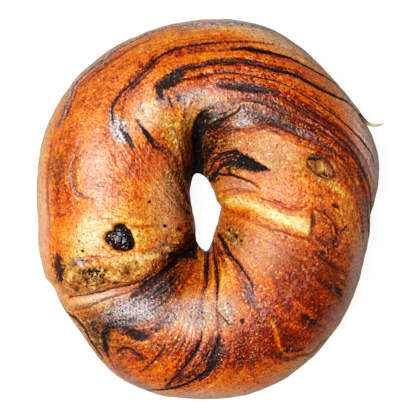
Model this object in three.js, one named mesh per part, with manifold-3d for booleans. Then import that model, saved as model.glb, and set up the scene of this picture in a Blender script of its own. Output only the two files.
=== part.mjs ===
// A cinnamon raisin swirl bagel that lies on its flat base. It is a ring of hand-rolled dough with a
// slit of a hole, the fold where one end of the rope laps over the other, pleats gathered round the
// hole, and one raisin that shows in the crust. Millimetres, +Z up; from above, +X is right and +Y up.
import * as THREE from "three";
import { mergeVertices } from "three/addons/utils/BufferGeometryUtils.js";
import Module from "manifold-3d";

// The ring in plan: radii about the middle of the hole, every 15 degrees from +X towards +Y
const HOLE_MIDDLE = new THREE.Vector2(-1.1, -0.6);
const OUTER_RADII = [
  52.5, 56.5, 57.5, 57.5, 59.5, 61, 60, 59.2, 58.8, 57.8, 56.2, 54,
  52.2, 53.4, 53.8, 54.5, 58, 58.9, 58.4, 58.5, 57.3, 55.2, 53.4, 51.8,
];
const HOLE_RADII = [
  4.7, 5.2, 5, 5, 6.2, 8, 11, 12.4, 9, 6.4, 4.9, 4.1,
  3.9, 3.8, 4, 4.6, 6, 9.7, 11.8, 8.4, 6.3, 5.4, 4.8, 4.6,
];

// The dough's section: the waist is the widest level, and the base is cut flat where it rested
const WAIST_HEIGHT = 18;
const CROWN_RISES = [21.5, 22.5, 21.5, 23, 24, 22, 20.5, 21.5];
const BASE_DROP = 19.6;
const CROWN_SQUARENESS = 2.06;
const BASE_SQUARENESS = 2.3;

// How finely the ring is faceted
const SPOKES = 108;
const ROWS = 34;

// Gentle unevenness of the hand-rolled rope, as waves round the ring and across the section that
// leave the waist as it is
const UNEVENNESS = [
  { height: 0.5, round: 3, across: 1, phase: 0.7 },
  { height: 0.35, round: 5, across: 2, phase: 2.1 },
  { height: 0.25, round: 8, across: 1, phase: 4.0 },
];

// Pressed-in creases: the dough's rise over its waist is cut by a share that fades along the route
const CREASES = [
  { route: [[-2.4, 11], [-3.5, 17], [-3.9, 22], [-3.2, 27], [-0.5, 31]], press: 0.8, width: 2.6 },
  { route: [[-3.6, -12], [-8, -14.6], [-12.5, -17], [-17.5, -20]], press: 0.62, width: 2.4 },
];

// Folds: a step down from the left of the route to its right, with a groove along it
const FOLDS = [
  {
    name: "lap of the rope's end",
    route: [[-49.5, -20], [-46, -24.5], [-42, -26.4], [-36, -25.8], [-28, -24], [-21, -22], [-14, -17.4]],
    step: 2.6, groove: 1, width: 1.8, reach: 9,
  },
  {
    name: "second layer under the lap",
    route: [[-43, -30.9], [-38, -30.5], [-34, -28.8], [-28, -26.5], [-22, -24.6], [-17, -21.8]],
    step: 0.8, groove: 0.6, width: 1.5, reach: 5,
  },
  {
    name: "inner strand over the outer one",
    route: [[2, 25.5], [10, 25.6], [18, 26], [26, 22.8], [34, 19], [41, 14.8], [46, 8], [49, 0], [50, -8]],
    step: -1.2, groove: 0.7, width: 1.8, reach: 7,
  },
  {
    name: "crust's edge beside the pale stretch",
    route: [[5, 0.6], [11, -0.8], [18, -3], [25, -5.8], [31, -8.8]],
    step: -0.8, groove: 0.4, width: 1.6, reach: 6,
  },
];

// Pleats gathered at the hole: grooves that fade outwards
const PLEATS = [
  [[-0.2, -12], [-0.2, -17], [-0.1, -22], [-1.2, -28], [-1.8, -34]],
  [[1.4, -10], [2, -14], [2.7, -19], [2.8, -25], [2.8, -31], [3.2, -38]],
  [[3.4, -7.6], [5.4, -12.5], [8.2, -17], [11, -21.5], [13.6, -27]],
  [[-3, -15], [-4.6, -19], [-6.4, -23], [-9, -28]],
  [[5.6, -7], [9, -10.6], [12.6, -14]],
  [[4.4, 4.8], [8, 5.4], [12, 5.2], [16, 4.8]],
  [[0.6, 11.4], [3, 14.4], [7, 16], [12, 14.6], [17, 12.6]],
];
const PLEAT_DEPTH = 1.3;
const PLEAT_WIDTH = 1.1;

// A shallow oval pit in the crust on the right
const PIT = { middle: [34.3, 12.9], half_length: 5, half_width: 2.9, turned: -0.62, depth: 1.3 };

// The raisin that shows on the crest of the left side, set in a pocket a little wider than itself
const RAISIN = { middle: [-27, -8.2], half_length: 4.7, half_width: 4.1, half_height: 2.7, proud: 1.1 };
const POCKET_GAP = 0.35;

const smooth = (low, high, x) => THREE.MathUtils.smoothstep(x, low, high);
const signedPower = (x, power) => Math.sign(x) * Math.abs(x) ** power;

// A smooth curve through values that are spaced evenly round the ring
function roundTheRing(values, turn) {
  const place = (turn - Math.floor(turn)) * values.length;
  const at = Math.floor(place);
  const f = place - at;
  const [a, b, c, d] = [-1, 0, 1, 2].map((k) => values[(at + k + values.length) % values.length]);
  return b + 0.5 * f * (c - a + f * (2 * a - 5 * b + 4 * c - d + f * (3 * (b - c) + d - a)));
}

// Where a plan point lies beside a route: its distance, which side it is on, and how far along it is
function besideRoute(x, y, route) {
  let best = { distance: Infinity, side: 0, along: 0 };
  for (let k = 0; k + 1 < route.length; k += 1) {
    const [ax, ay] = route[k];
    const [bx, by] = route[k + 1];
    const dx = bx - ax;
    const dy = by - ay;
    const share = THREE.MathUtils.clamp(((x - ax) * dx + (y - ay) * dy) / (dx * dx + dy * dy), 0, 1);
    const distance = Math.hypot(x - ax - share * dx, y - ay - share * dy);
    if (distance < best.distance) {
      const side = Math.sign(dx * (y - ay) - dy * (x - ax));
      best = { distance, side, along: (k + share) / (route.length - 1) };
    }
  }
  return best;
}

// The smooth ring without its folds; angle 0 is the outer waist and 90 degrees the crest
function plainRing(turn, angle) {
  const outer = roundTheRing(OUTER_RADII, turn);
  const inner = roundTheRing(HOLE_RADII, turn);
  const up = Math.sin(angle);
  const squareness = up > 0 ? CROWN_SQUARENESS : BASE_SQUARENESS;
  const across = signedPower(Math.cos(angle), 2 / squareness);
  const rise = signedPower(up, 2 / squareness) * (up > 0 ? roundTheRing(CROWN_RISES, turn) : BASE_DROP);
  const radius = (outer + inner) / 2 + (across * (outer - inner)) / 2;
  return new THREE.Vector3(
    HOLE_MIDDLE.x + radius * Math.cos(2 * Math.PI * turn),
    HOLE_MIDDLE.y + radius * Math.sin(2 * Math.PI * turn),
    WAIST_HEIGHT + rise,
  );
}

// How far the crust stands out from the plain ring, from its folds, pleats, pit and unevenness
function reliefAt(x, y, turn, angle) {
  let relief = 0;
  for (const { step, groove, width, reach, route } of FOLDS) {
    const { distance, side, along } = besideRoute(x, y, route);
    const ends = smooth(0, 0.12, along) * (1 - smooth(0.88, 1, along));
    relief += 0.5 * step * side * smooth(0, width, distance) * Math.exp(-distance / reach) * ends;
    relief -= groove * Math.exp(-((distance / width) ** 2)) * ends;
  }
  for (const route of PLEATS) {
    const { distance, along } = besideRoute(x, y, route);
    relief -= PLEAT_DEPTH * (1 - along) ** 0.7 * Math.exp(-((distance / PLEAT_WIDTH) ** 2));
  }
  const [dx, dy] = [x - PIT.middle[0], y - PIT.middle[1]];
  const lengthways = dx * Math.cos(PIT.turned) + dy * Math.sin(PIT.turned);
  const sideways = dy * Math.cos(PIT.turned) - dx * Math.sin(PIT.turned);
  const oval = Math.hypot(lengthways / PIT.half_length, sideways / PIT.half_width);
  relief -= PIT.depth * (1 - smooth(0.55, 1.15, oval));
  const above = smooth(-0.35, 0.1, Math.sin(angle));
  let waves = 0;
  for (const { height, round, across, phase } of UNEVENNESS)
    waves += height * Math.sin(2 * Math.PI * round * turn + across * angle + phase);
  return relief * above + waves * Math.sin(angle) ** 2;
}

// The share by which the creases press the crown down at a plan point
function pressAt(x, y) {
  let kept = 1;
  for (const { route, press, width } of CREASES) {
    const { distance, along } = besideRoute(x, y, route);
    kept *= 1 - press * (1 - smooth(0.25, 1, along)) * Math.exp(-((distance / width) ** 2));
  }
  return kept;
}

// One point of the crust
function crustPoint(turn, angle) {
  const point = plainRing(turn, angle);
  const nudge = 1e-3;
  const alongRing = plainRing(turn + nudge, angle).sub(point);
  const acrossRing = plainRing(turn, angle + nudge).sub(point);
  const outwards = alongRing.cross(acrossRing).normalize();
  const offBase = smooth(0, 4, point.z);
  point.addScaledVector(outwards, reliefAt(point.x, point.y, turn, angle) * offBase);
  if (point.z > WAIST_HEIGHT)
    point.z = WAIST_HEIGHT + (point.z - WAIST_HEIGHT) * pressAt(point.x, point.y);
  return point;
}

// The angle below the waist at which the section meets the flat base
const BASE_ANGLE = Math.asin((WAIST_HEIGHT / BASE_DROP) ** (BASE_SQUARENESS / 2));

// The ring of dough: rows of crust points from the base's outer edge over the crown to its inner edge
function doughGeometry() {
  const positions = [];
  const faces = [];
  for (let spoke = 0; spoke < SPOKES; spoke += 1)
    for (let row = 0; row <= ROWS; row += 1) {
      const angle = -BASE_ANGLE + (row / ROWS) * (Math.PI + 2 * BASE_ANGLE);
      const point = crustPoint(spoke / SPOKES, angle);
      const onBase = row === 0 || row === ROWS;
      positions.push(point.x, point.y, onBase ? 0 : Math.max(point.z, 0.2));
    }
  const at = (spoke, row) => (spoke % SPOKES) * (ROWS + 1) + (row % (ROWS + 1));
  for (let spoke = 0; spoke < SPOKES; spoke += 1)
    for (let row = 0; row <= ROWS; row += 1) {
      const corners = [at(spoke, row), at(spoke + 1, row), at(spoke + 1, row + 1), at(spoke, row + 1)];
      faces.push(corners[0], corners[1], corners[2], corners[0], corners[2], corners[3]);
    }
  const geometry = new THREE.BufferGeometry();
  geometry.setAttribute("position", new THREE.Float32BufferAttribute(positions, 3));
  geometry.setIndex(faces);
  return geometry;
}

// A wrinkled raisin, grown by a margin so that the same shape can cut its own pocket
function raisinGeometry(margin) {
  const geometry = new THREE.IcosahedronGeometry(1, 4);
  geometry.deleteAttribute("normal");
  geometry.deleteAttribute("uv");
  const welded = mergeVertices(geometry, 1e-4);
  const position = welded.getAttribute("position");
  const point = new THREE.Vector3();
  for (let k = 0; k < position.count; k += 1) {
    point.fromBufferAttribute(position, k).normalize();
    const folds = Math.sin(5 * point.x + 2 * point.y + 0.6) * Math.sin(4.5 * point.y - 2 * point.x + 1.2);
    const swell = 1 + 0.12 * folds;
    position.setXYZ(
      k,
      point.x * (RAISIN.half_length * swell + margin),
      point.y * (RAISIN.half_width * swell + margin),
      point.z * (RAISIN.half_height * swell + margin),
    );
  }
  return welded;
}

const wasm = await Module();
wasm.setup();

const toSolid = (geometry) =>
  new wasm.Manifold(
    new wasm.Mesh({
      numProp: 3,
      vertProperties: geometry.getAttribute("position").array,
      triVerts: new Uint32Array(geometry.index.array),
    }),
  );

function toGeometry(solid) {
  const mesh = solid.getMesh();
  const geometry = new THREE.BufferGeometry();
  geometry.setAttribute("position", new THREE.BufferAttribute(new Float32Array(mesh.vertProperties), 3));
  geometry.setIndex(new THREE.BufferAttribute(new Uint32Array(mesh.triVerts), 1));
  return geometry;
}

// The raisin lies on the crest of the plain ring at its own plan place
const raisinTurn = Math.atan2(RAISIN.middle[1] - HOLE_MIDDLE.y, RAISIN.middle[0] - HOLE_MIDDLE.x) / (2 * Math.PI);
const crestHeight = plainRing(raisinTurn, Math.PI / 2).z;
const raisinHeight = crestHeight + RAISIN.proud - RAISIN.half_height;

const pocket = toSolid(raisinGeometry(POCKET_GAP)).translate([...RAISIN.middle, raisinHeight]);
const doughSolid = toSolid(doughGeometry()).subtract(pocket);

const dough = new THREE.Mesh(
  toGeometry(doughSolid),
  new THREE.MeshStandardMaterial({ color: 0xb5651d, roughness: 0.5, metalness: 0 }),
);
dough.name = "dough";

const raisin = new THREE.Mesh(
  raisinGeometry(0),
  new THREE.MeshStandardMaterial({ color: 0x24130f, roughness: 0.4, metalness: 0 }),
);
raisin.name = "raisin";
raisin.position.set(...RAISIN.middle, raisinHeight);

const bagel = new THREE.Group();
bagel.add(dough, raisin);

// The origin is the middle of the base of the whole bagel's box
const box = new THREE.Box3().setFromObject(bagel, true);
bagel.position.set(-(box.min.x + box.max.x) / 2, -(box.min.y + box.max.y) / 2, -box.min.z);

export default bagel;
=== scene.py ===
# The looks of a cinnamon raisin swirl bagel: its glossy crust with dark streaks of cinnamon, its folds
# and pleats, its raisin and a dried thread of dough at its edge. Places and sizes below are millimetres
# as seen from above, with +X to the right and +Y up; the meshes are in metres in the frame's own place.
import math
import random
from collections import namedtuple
from types import SimpleNamespace

import bmesh
import bpy
import numpy as np
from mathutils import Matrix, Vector, noise
from mathutils.bvhtree import BVHTree
from mathutils.kdtree import KDTree


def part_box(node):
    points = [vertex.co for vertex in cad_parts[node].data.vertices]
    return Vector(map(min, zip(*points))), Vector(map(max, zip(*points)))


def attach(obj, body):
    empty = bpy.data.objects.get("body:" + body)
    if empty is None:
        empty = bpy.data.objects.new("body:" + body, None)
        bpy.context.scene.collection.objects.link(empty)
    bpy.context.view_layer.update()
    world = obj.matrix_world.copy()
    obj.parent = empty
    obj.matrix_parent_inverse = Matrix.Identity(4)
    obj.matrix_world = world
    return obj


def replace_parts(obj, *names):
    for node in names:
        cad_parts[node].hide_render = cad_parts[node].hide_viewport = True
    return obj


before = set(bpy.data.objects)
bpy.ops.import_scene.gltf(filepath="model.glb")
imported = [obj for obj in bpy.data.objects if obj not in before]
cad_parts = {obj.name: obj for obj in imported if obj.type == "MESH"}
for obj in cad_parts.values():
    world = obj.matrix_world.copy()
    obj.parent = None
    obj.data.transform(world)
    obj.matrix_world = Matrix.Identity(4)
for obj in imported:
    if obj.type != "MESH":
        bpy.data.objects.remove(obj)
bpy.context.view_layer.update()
MM = 0.001

# The photograph is exposed brightly, so that a surface's true colour is this share of what it shows
OVEREXPOSURE = 0.66

# The ring in plan: radii about the middle of the hole, every 15 degrees from +X towards +Y
HOLE_MIDDLE = np.array([-1.1, -0.6])
OUTER_RADII = [
    52.5, 56.5, 57.5, 57.5, 59.5, 61, 60, 59.2, 58.8, 57.8, 56.2, 54,
    52.2, 53.4, 53.8, 54.5, 58, 58.9, 58.4, 58.5, 57.3, 55.2, 53.4, 51.8,
]
HOLE_RADII = [
    4.7, 5.2, 5, 5, 6.2, 8, 11, 12.4, 9, 6.4, 4.9, 4.1,
    3.9, 3.8, 4, 4.6, 6, 9.7, 11.8, 8.4, 6.3, 5.4, 4.8, 4.6,
]

# The dough's section: the waist is the widest level, and the base is flat where it lay on its tray
WAIST_HEIGHT = 18
CROWN_RISES = [21.5, 22.5, 21.5, 23, 24, 22, 20.5, 21.5]
BASE_DROP = 19.6
CROWN_SQUARENESS = 2.06
BASE_SQUARENESS = 2.3
BASE_ANGLE = math.asin((WAIST_HEIGHT / BASE_DROP) ** (BASE_SQUARENESS / 2))

# How finely the crust is meshed: columns round the ring, and rows over its crown, flanks and base
COLUMNS = 520
CROWN_ROWS = 140
FLANK_ROWS = 18
BASE_ROWS = 12

# Gentle unevenness of the hand-rolled rope: height, waves round the ring and across it, and phase
UNEVENNESS = [(0.5, 3, 1, 0.7), (0.35, 5, 2, 2.1), (0.25, 8, 1, 4.0)]

# Creases pressed into the crown: share of the rise that is pressed away, width, and route
CREASES = [
    (0.8, 2.6, [(-2.4, 11), (-3.5, 17), (-3.9, 22), (-3.2, 27), (-0.5, 31)]),
    (0.62, 2.4, [(-3.6, -12), (-8, -14.6), (-12.5, -17), (-17.5, -20)]),
]

# Folds: the step down from the left of the route to its right, groove, width, reach, and route
FOLDS = [
    (2.6, 1, 1.8, 9,
     [(-49.5, -20), (-46, -24.5), (-42, -26.4), (-36, -25.8), (-28, -24), (-21, -22), (-14, -17.4)]),
    (0.8, 0.6, 1.5, 5, [(-43, -30.9), (-38, -30.5), (-34, -28.8), (-28, -26.5), (-22, -24.6), (-17, -21.8)]),
    (-1.2, 0.7, 1.8, 7,
     [(2, 25.5), (10, 25.6), (18, 26), (26, 22.8), (34, 19), (41, 14.8), (46, 8), (49, 0), (50, -8)]),
    (-0.8, 0.4, 1.6, 6, [(5, 0.6), (11, -0.8), (18, -3), (25, -5.8), (31, -8.8)]),
]

# Pleats gathered at the hole, which fade outwards
PLEATS = [
    [(-0.2, -12), (-0.2, -17), (-0.1, -22), (-1.2, -28), (-1.8, -34)],
    [(1.4, -10), (2, -14), (2.7, -19), (2.8, -25), (2.8, -31), (3.2, -38)],
    [(3.4, -7.6), (5.4, -12.5), (8.2, -17), (11, -21.5), (13.6, -27)],
    [(-3, -15), (-4.6, -19), (-6.4, -23), (-9, -28)],
    [(5.6, -7), (9, -10.6), (12.6, -14)],
    [(4.4, 4.8), (8, 5.4), (12, 5.2), (16, 4.8)],
    [(0.6, 11.4), (3, 14.4), (7, 16), (12, 14.6), (17, 12.6)],
]
PLEAT_DEPTH = 1.3
PLEAT_WIDTH = 1.1

# The shallow oval pit: middle, half length, half width, turn in radians, and depth
PIT_MIDDLE, PIT_HALF_LENGTH, PIT_HALF_WIDTH, PIT_TURNED, PIT_DEPTH = (34.3, 12.9), 5, 2.9, -0.62, 1.3

# Streaks of dark cinnamon, and painted shade: the body of the crease is cinnamon and painted shade, and the
# shadow in the lap is a painted shadow.
# The tone runs from 0, rusty brown, to 1, black. The half widths are spread evenly along the route, and the
# depth is that of the groove which the streak leaves in the crust.
Streak = namedtuple("Streak", "tone half_widths depth route")
STREAKS = {
    "outermost arc": Streak(0.95, (0.3, 0.35, 0.35, 0.3, 0.3, 0.22, 0.12), 0.2, [
        (-29.1, 26.6), (-29.5, 30.6), (-28.7, 33), (-26.7, 35.8), (-23.9, 38.2), (-21.1, 40.8), (-18.5, 43.3),
        (-16, 46.4), (-12.5, 48.5), (-8.9, 49.9), (-4, 50.8), (0, 51.3), (6, 51.8), (12, 51.9), (20, 51)]),
    "its inner companion": Streak(0.7, (0.1, 0.18, 0.18, 0.15), 0.1, [
        (-17.5, 42.6), (-21.1, 39.4), (-23.9, 36.6), (-25.5, 33.8), (-26.3, 30.6), (-26.4, 27)]),
    "outer tick": Streak(1, (0.1, 0.4, 0.8, 0.65, 0.1), 0.3, [
        (-27.1, 25.4), (-25.1, 23), (-23.9, 21), (-22.7, 18.7)]),
    "inner tick": Streak(1, (0.1, 0.3, 0.65, 0.6, 0.1), 0.3, [
        (-21.9, 27.4), (-19.9, 24.6), (-17.9, 21.8), (-16.3, 18.8)]),
    "second arc, faint start": Streak(0.55, (0.1, 0.22, 0.22), 0.1, [
        (-10, 47.4), (-4, 48.6), (3, 48.9), (6, 49.2)]),
    "second arc": Streak(1, (0.2, 0.75, 0.7, 0.55, 0.45, 0.3, 0.15), 0.3, [
        (7, 49.4), (9.3, 49.7), (12.5, 49.7), (15.3, 48.9), (18.5, 48.3), (22, 47.6), (25.2, 46.8),
        (28.4, 45.6), (31.6, 44), (34.4, 42.4), (37.2, 40.8), (39.6, 39)]),
    "third arc": Streak(1, (0.5, 0.7, 0.45, 0.4, 0.45, 0.55, 0.6, 0.6, 0.4, 0.25), 0.35, [
        (-13, 41.2), (-10, 42.3), (-7.5, 43.2), (-3, 43.9), (1, 44.9), (4, 45.2), (10.5, 45.3), (13.3, 44.8),
        (19.7, 43.2), (26, 41.8), (32, 38.8), (38.4, 35.6), (41.6, 34.4), (44, 32.8), (46, 30.6),
        (47.6, 28.4)]),
    "dark start of the third arc": Streak(0.9, (0.6, 1.4, 1.7, 1.3, 0.4), 0.4, [
        (-16, 37.8), (-14.2, 38.4), (-12, 39.5), (-9.5, 41), (-7, 42.2)]),
    "its tail": Streak(0.85, (1.3, 1, 0.6, 0.2), 0.3, [
        (-15.2, 38), (-14.8, 36), (-14.3, 34.8), (-13.6, 33.6)]),
    "line beside the tail": Streak(0.9, (0.1, 0.28, 0.1), 0.2, [(-12.2, 34), (-11.4, 32.4), (-10.8, 31)]),
    "fourth arc": Streak(0.8, (0.15, 0.22, 0.25, 0.3, 0.4, 0.4, 0.2), 0.2, [
        (-8, 40), (-5, 40.3), (0, 41.5), (6, 42), (11.3, 41.4), (15.3, 40.6), (19.7, 39.8), (23.3, 38.6),
        (26.8, 36.6), (33.2, 33), (39.6, 28.6), (45.6, 23.4), (49.6, 18.7), (51.2, 15.9), (51.9, 13.1)]),
    "fifth arc": Streak(0.9, (0.15, 0.6, 0.9, 0.5, 0.15), 0.15, [
        (2.5, 38), (7, 37.6), (11.7, 37.2), (16.5, 37), (22, 35.8)]),
    "dark band beside the inner strand": Streak(0.6, (0.2, 0.6, 0.5, 0.4, 0.4, 0.5, 0.5, 0.4, 0.3), 0.25, [
        (6, 33.9), (9, 34), (13, 34), (16, 33), (18, 32.2), (22.8, 29.4), (29.2, 27), (35.6, 23.8),
        (41.6, 19), (46.4, 13.9), (49.6, 7.5), (50.3, 2), (50.7, -3), (49.8, -8.3)]),
    "line in the crease's mouth": Streak(0.9, (0.15, 0.28, 0.28, 0.1), 0.2, [
        (9.8, 31.7), (9, 30), (7, 28.7), (5, 27.5), (3, 26.2), (1.5, 25)]),
    "edge of the inner strand": Streak(0.6, (0.2, 0.35, 0.35, 0.4, 0.35, 0.3, 0.2), 0.2, [
        (1.5, 23.6), (4, 24), (8, 24.8), (12.5, 24.9), (16.5, 26.2), (19.7, 26.2), (22.8, 25), (27.7, 22.6),
        (34, 20.3), (40.4, 16.7), (43.2, 14.3), (46, 11), (47.9, 7), (49.2, 2.7), (49.3, -4), (49.7, -8)]),
    "second outer left band": Streak(0.6, (0.15, 0.4, 0.5, 0.4, 0.15), 0.15, [
        (-38, 38.6), (-34, 42.6), (-29, 46.4), (-23.6, 50), (-18, 52.6)]),
    "outer left band": Streak(0.6, (0.2, 0.4, 0.5, 0.7, 0.8, 0.6, 0.3), 0.2, [
        (-46.6, 24.6), (-44.2, 32.2), (-42.6, 35), (-41.8, 37.8), (-39.8, 40.6), (-35, 45), (-31.9, 47),
        (-28.7, 49.4), (-25.5, 51.3), (-21.9, 53.3), (-17.9, 54.9), (-13.9, 56.1)]),
    # Cinnamon and painted shade in the crease
    "body of the crease": Streak(1, (1.6, 1.8, 2, 2.4, 2.6, 0.8), 0, [
        (-3.4, 12), (-3.5, 16), (-3.5, 20), (-3.1, 23.4), (-2.2, 26), (-0.6, 28)]),
    "line left of the crease": Streak(0.6, (0.1, 0.2, 0.2, 0.1), 0.15, [
        (-6.5, 30), (-7.5, 25), (-6.7, 22), (-6, 20)]),
    "upper line to the hole": Streak(0.65, (0.1, 0.25, 0.3, 0.2), 0.3, [
        (-18.3, 23.4), (-15.2, 20.3), (-12, 17.8), (-8.7, 14.7)]),
    "middle line to the hole": Streak(0.65, (0.1, 0.25, 0.2), 0.3, [(-11.5, 17.5), (-10, 15.5), (-8.5, 12)]),
    "lower line to the hole": Streak(0.6, (0.1, 0.2, 0.15), 0.2, [(-12, 14.5), (-10.6, 12), (-9.5, 9)]),
    "lowest line to the hole": Streak(0.55, (0.1, 0.2, 0.15), 0.2, [(-10.5, 5.5), (-9.2, 4), (-8.2, 2.5)]),
    "hook on the left": Streak(0.4, (0.15, 0.3, 0.4, 0.45, 0.3, 0.15), 0.2, [
        (-40.5, 16), (-41.7, 13.5), (-41.8, 10), (-41.5, 7), (-40.3, 5), (-38.5, 4.2), (-36.5, 3.6),
        (-35, 3.2)]),
    "blotch on the left": Streak(0.3, (0.6, 1.6, 1.4, 0.4), 0.2, [
        (-45.9, 15.6), (-45.6, 14.4), (-45.3, 12.8), (-44.6, 11.6)]),
    "line behind the raisin": Streak(0.6, (0.1, 0.18, 0.18, 0.08), 0.2, [
        (-25, -4.2), (-23.5, -4.8), (-20, -5), (-15, -4.5)]),
    "tick towards the hole": Streak(0.6, (0.1, 0.22, 0.1), 0.2, [(-12.5, -7), (-12.6, -8.2), (-12.8, -9.5)]),
    "blotch at the hole": Streak(0.7, (0.3, 0.7, 0.3), 0.2, [(-9.8, -6.2), (-9, -6), (-8.2, -5.9)]),
    "start of the lap": Streak(0.95, (0.1, 0.4, 0.5, 0.3), 0.4, [
        (-47.8, -21), (-46.5, -23.5), (-45.3, -24.8), (-43.3, -25.9)]),
    "seam of the lap": Streak(0.8, (0.2, 0.28, 0.26, 0.26, 0.25), 0.3, [
        (-43.2, -27.5), (-42.5, -26.7), (-38, -26.2), (-33.5, -25.2), (-28.5, -23.9), (-24, -23.1),
        (-20.5, -21.7), (-17, -19.8)]),
    "seam of the second layer": Streak(0.7, (0.15, 0.3, 0.34, 0.3, 0.25), 0.25, [
        (-41.5, -30.8), (-37, -30), (-35, -28.9), (-32.5, -27.7), (-30, -26.8), (-27.5, -25.9),
        (-21, -23.9)]),
    "black band below the lap": Streak(0.85, (0.3, 0.9, 1.1, 1, 0.9, 0.5), 0.3, [
        (-24, -26.7), (-21.5, -25), (-19.5, -23.8), (-17, -22), (-15, -20.5), (-12, -17.5), (-9.5, -15)]),
    # A painted shadow in the lap by the hole
    "shadow in the lap": Streak(0.95, (0.6, 1.4, 1.5, 0.9), 0, [
        (-12, -13), (-9, -14), (-6, -14.6), (-4, -15)]),
    "smear above the lap": Streak(0.7, (0.3, 1.2, 1.5, 0.8), 0.1, [
        (-46.6, -13.2), (-46.2, -17), (-45.4, -21.6)]),
    "line over the torn patch": Streak(0.6, (0.1, 0.3, 0.1), 0.2, [
        (-38, -14.3), (-35.5, -14.2), (-33, -14.4)]),
    "cluster at lower left": Streak(0.85, (0.3, 0.9, 0.8, 0.3), 0.2, [
        (-25, -37.6), (-23, -38.6), (-21, -39.2), (-17.6, -38.4)]),
    "spot at lower left": Streak(1, (0.3, 0.9, 0.7, 1.1, 0.4), 0.3, [
        (-32.7, -37.2), (-32.6, -39), (-32.4, -40.5), (-32.1, -42.6), (-31.9, -44)]),
    "small arch": Streak(0.9, (0.1, 0.3, 0.32, 0.3, 0.15), 0.3, [
        (-28, -43.8), (-26.5, -42.6), (-24.5, -42.4), (-23, -43.3), (-21.5, -44.8), (-20, -46)]),
    "outer line at lower left": Streak(0.85, (0.3, 0.9, 1, 0.8, 0.3), 0.2, [
        (-46, -28), (-43.8, -32), (-41.5, -33.5), (-38, -37.5), (-37, -40), (-33, -45.5)]),
    "first lower line": Streak(0.8, (0.2, 0.5, 0.5, 0.2), 0.25, [
        (-21, -49.8), (-19.2, -48.8), (-17.8, -47.2), (-15.5, -45), (-14, -43), (-13, -41)]),
    "second lower line": Streak(0.85, (0.2, 0.35, 0.35, 0.3, 0.3, 0.25, 0.1), 0.25, [
        (-13, -54.5), (-10, -51.5), (-7.5, -48.5), (-5, -45), (-3.5, -43), (-2.2, -39.5), (-2, -37)]),
    "third lower line": Streak(0.8, (0.15, 0.25, 0.25, 0.1), 0.2, [
        (-9, -52), (-5, -49.7), (-3.5, -48), (-2.2, -46.5), (-1, -44), (-0.3, -42), (0.7, -39)]),
    "main lower line": Streak(1, (0.35, 0.6, 1.2, 1.1, 0.9, 0.8, 0.7, 0.3), 0.45, [
        (3.2, -38), (3, -41), (1.7, -45), (0, -49), (-1.5, -50.5), (-3.5, -52), (-6, -53.5), (-8, -54.5),
        (-11, -55.3), (-14, -56), (-18, -56.3)]),
    "line beside the main one": Streak(0.8, (0.1, 0.22, 0.22, 0.1), 0.2, [
        (3.8, -45.5), (3, -47), (2, -48.5), (0.8, -50), (-1, -52)]),
    "faint line right of it": Streak(0.4, (0.1, 0.25, 0.1), 0.1, [(6.5, -38), (6.4, -41), (6, -45)]),
    "maroon crook": Streak(0.7, (0.1, 0.28, 0.3, 0.35, 0.2), 0.3, [
        (2.3, -30), (2.8, -31), (3.5, -32), (4.5, -33), (5.8, -34.3), (6.5, -35), (8, -34.8)]),
    "left pleat": Streak(1, (0.5, 0.42, 0.35, 0.15), 0.2, [
        (-0.2, -13), (-0.3, -20), (-0.5, -23), (-1.5, -25)]),
    "middle pleat": Streak(0.95, (0.5, 0.5, 0.45, 0.4, 0.12), 0.2, [
        (1.2, -9), (1.8, -14), (2.4, -17), (2.8, -20), (2.8, -23), (2.6, -28)]),
    "thin pleat": Streak(0.8, (0.2, 0.22, 0.2, 0.1), 0.2, [(2, -10), (3.5, -14), (5, -18), (5.5, -20)]),
    "right pleat": Streak(1, (0.5, 0.6, 0.65, 0.55, 0.4, 0.15), 0.2, [
        (3, -7.3), (4, -9), (5.5, -11.5), (7, -14), (9, -16.3), (10.5, -18.5), (12, -20.5), (13.6, -23.5)]),
    "short pleat": Streak(0.5, (0.2, 0.3, 0.1), 0.2, [(4, -7.2), (6, -8.5), (8, -9.5)]),
    "upper lip of the tear": Streak(1, (0.2, 0.5, 0.9, 1.1, 1.2, 0.8, 0.15), 0.4, [
        (0.6, 12), (2, 15.1), (5.2, 17), (7.8, 17.4), (10, 16.6), (13, 15), (15.6, 13.6), (18.6, 12.1)]),
    "tear": Streak(1, (0.3, 0.6, 0.7, 1.3, 1.9, 1.5, 0.2), 0.5, [
        (1, 9.6), (3.6, 13.4), (6.2, 14.4), (9.3, 14.2), (12.6, 13.6), (15.4, 13), (18, 12.4)]),
    "dark fibre of the tear": Streak(0.8, (0.3, 0.6, 0.5, 0.2), 0.3, [
        (6.6, 13.6), (6.2, 12.4), (6.4, 11.2), (7.2, 10.4)]),
    "lower lip of the tear": Streak(0.95, (0.3, 0.6, 0.5, 0.35, 0.2), 0.3, [
        (0.6, 9), (2.4, 11), (4.4, 10.8), (7, 10.7), (9.4, 9.8), (12.4, 8.6), (15, 7)]),
    "dotted line below the tear": Streak(0.5, (0.1, 0.2, 0.2, 0.1), 0.15, [
        (4.2, 4.4), (7.8, 5.2), (11.4, 5.6), (14.6, 5.5)]),
    "edge of the cream stretch": Streak(0.45, (0.1, 0.2, 0.25, 0.25, 0.1), 0.45, [
        (4.2, 1), (10, -1.6), (17, -4.6), (23.4, -6.6), (31.2, -9)]),
    "end of the cream stretch": Streak(0.7, (0.2, 0.5, 0.45, 0.3), 0.45, [
        (31.6, 0.2), (31.9, -2.4), (31.7, -5.4), (31.2, -8.8)]),
    "orange streak above the stretch": Streak(0.2, (0.2, 0.9, 0.9, 0.3), 0.2, [
        (16, 3), (20, 1.8), (23, 0), (26, -0.5), (29, 0.2)]),
    "rim of the flap": Streak(0.4, (0.1, 0.2, 0.25, 0.2), 0.5, [
        (32.4, 0), (36, -0.8), (38.8, -4.2), (39.6, -8), (38.4, -10.4)]),
    "reddish band on the left": Streak(0.15, (0.3, 0.9, 0.8, 0.3), 0.1, [
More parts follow.
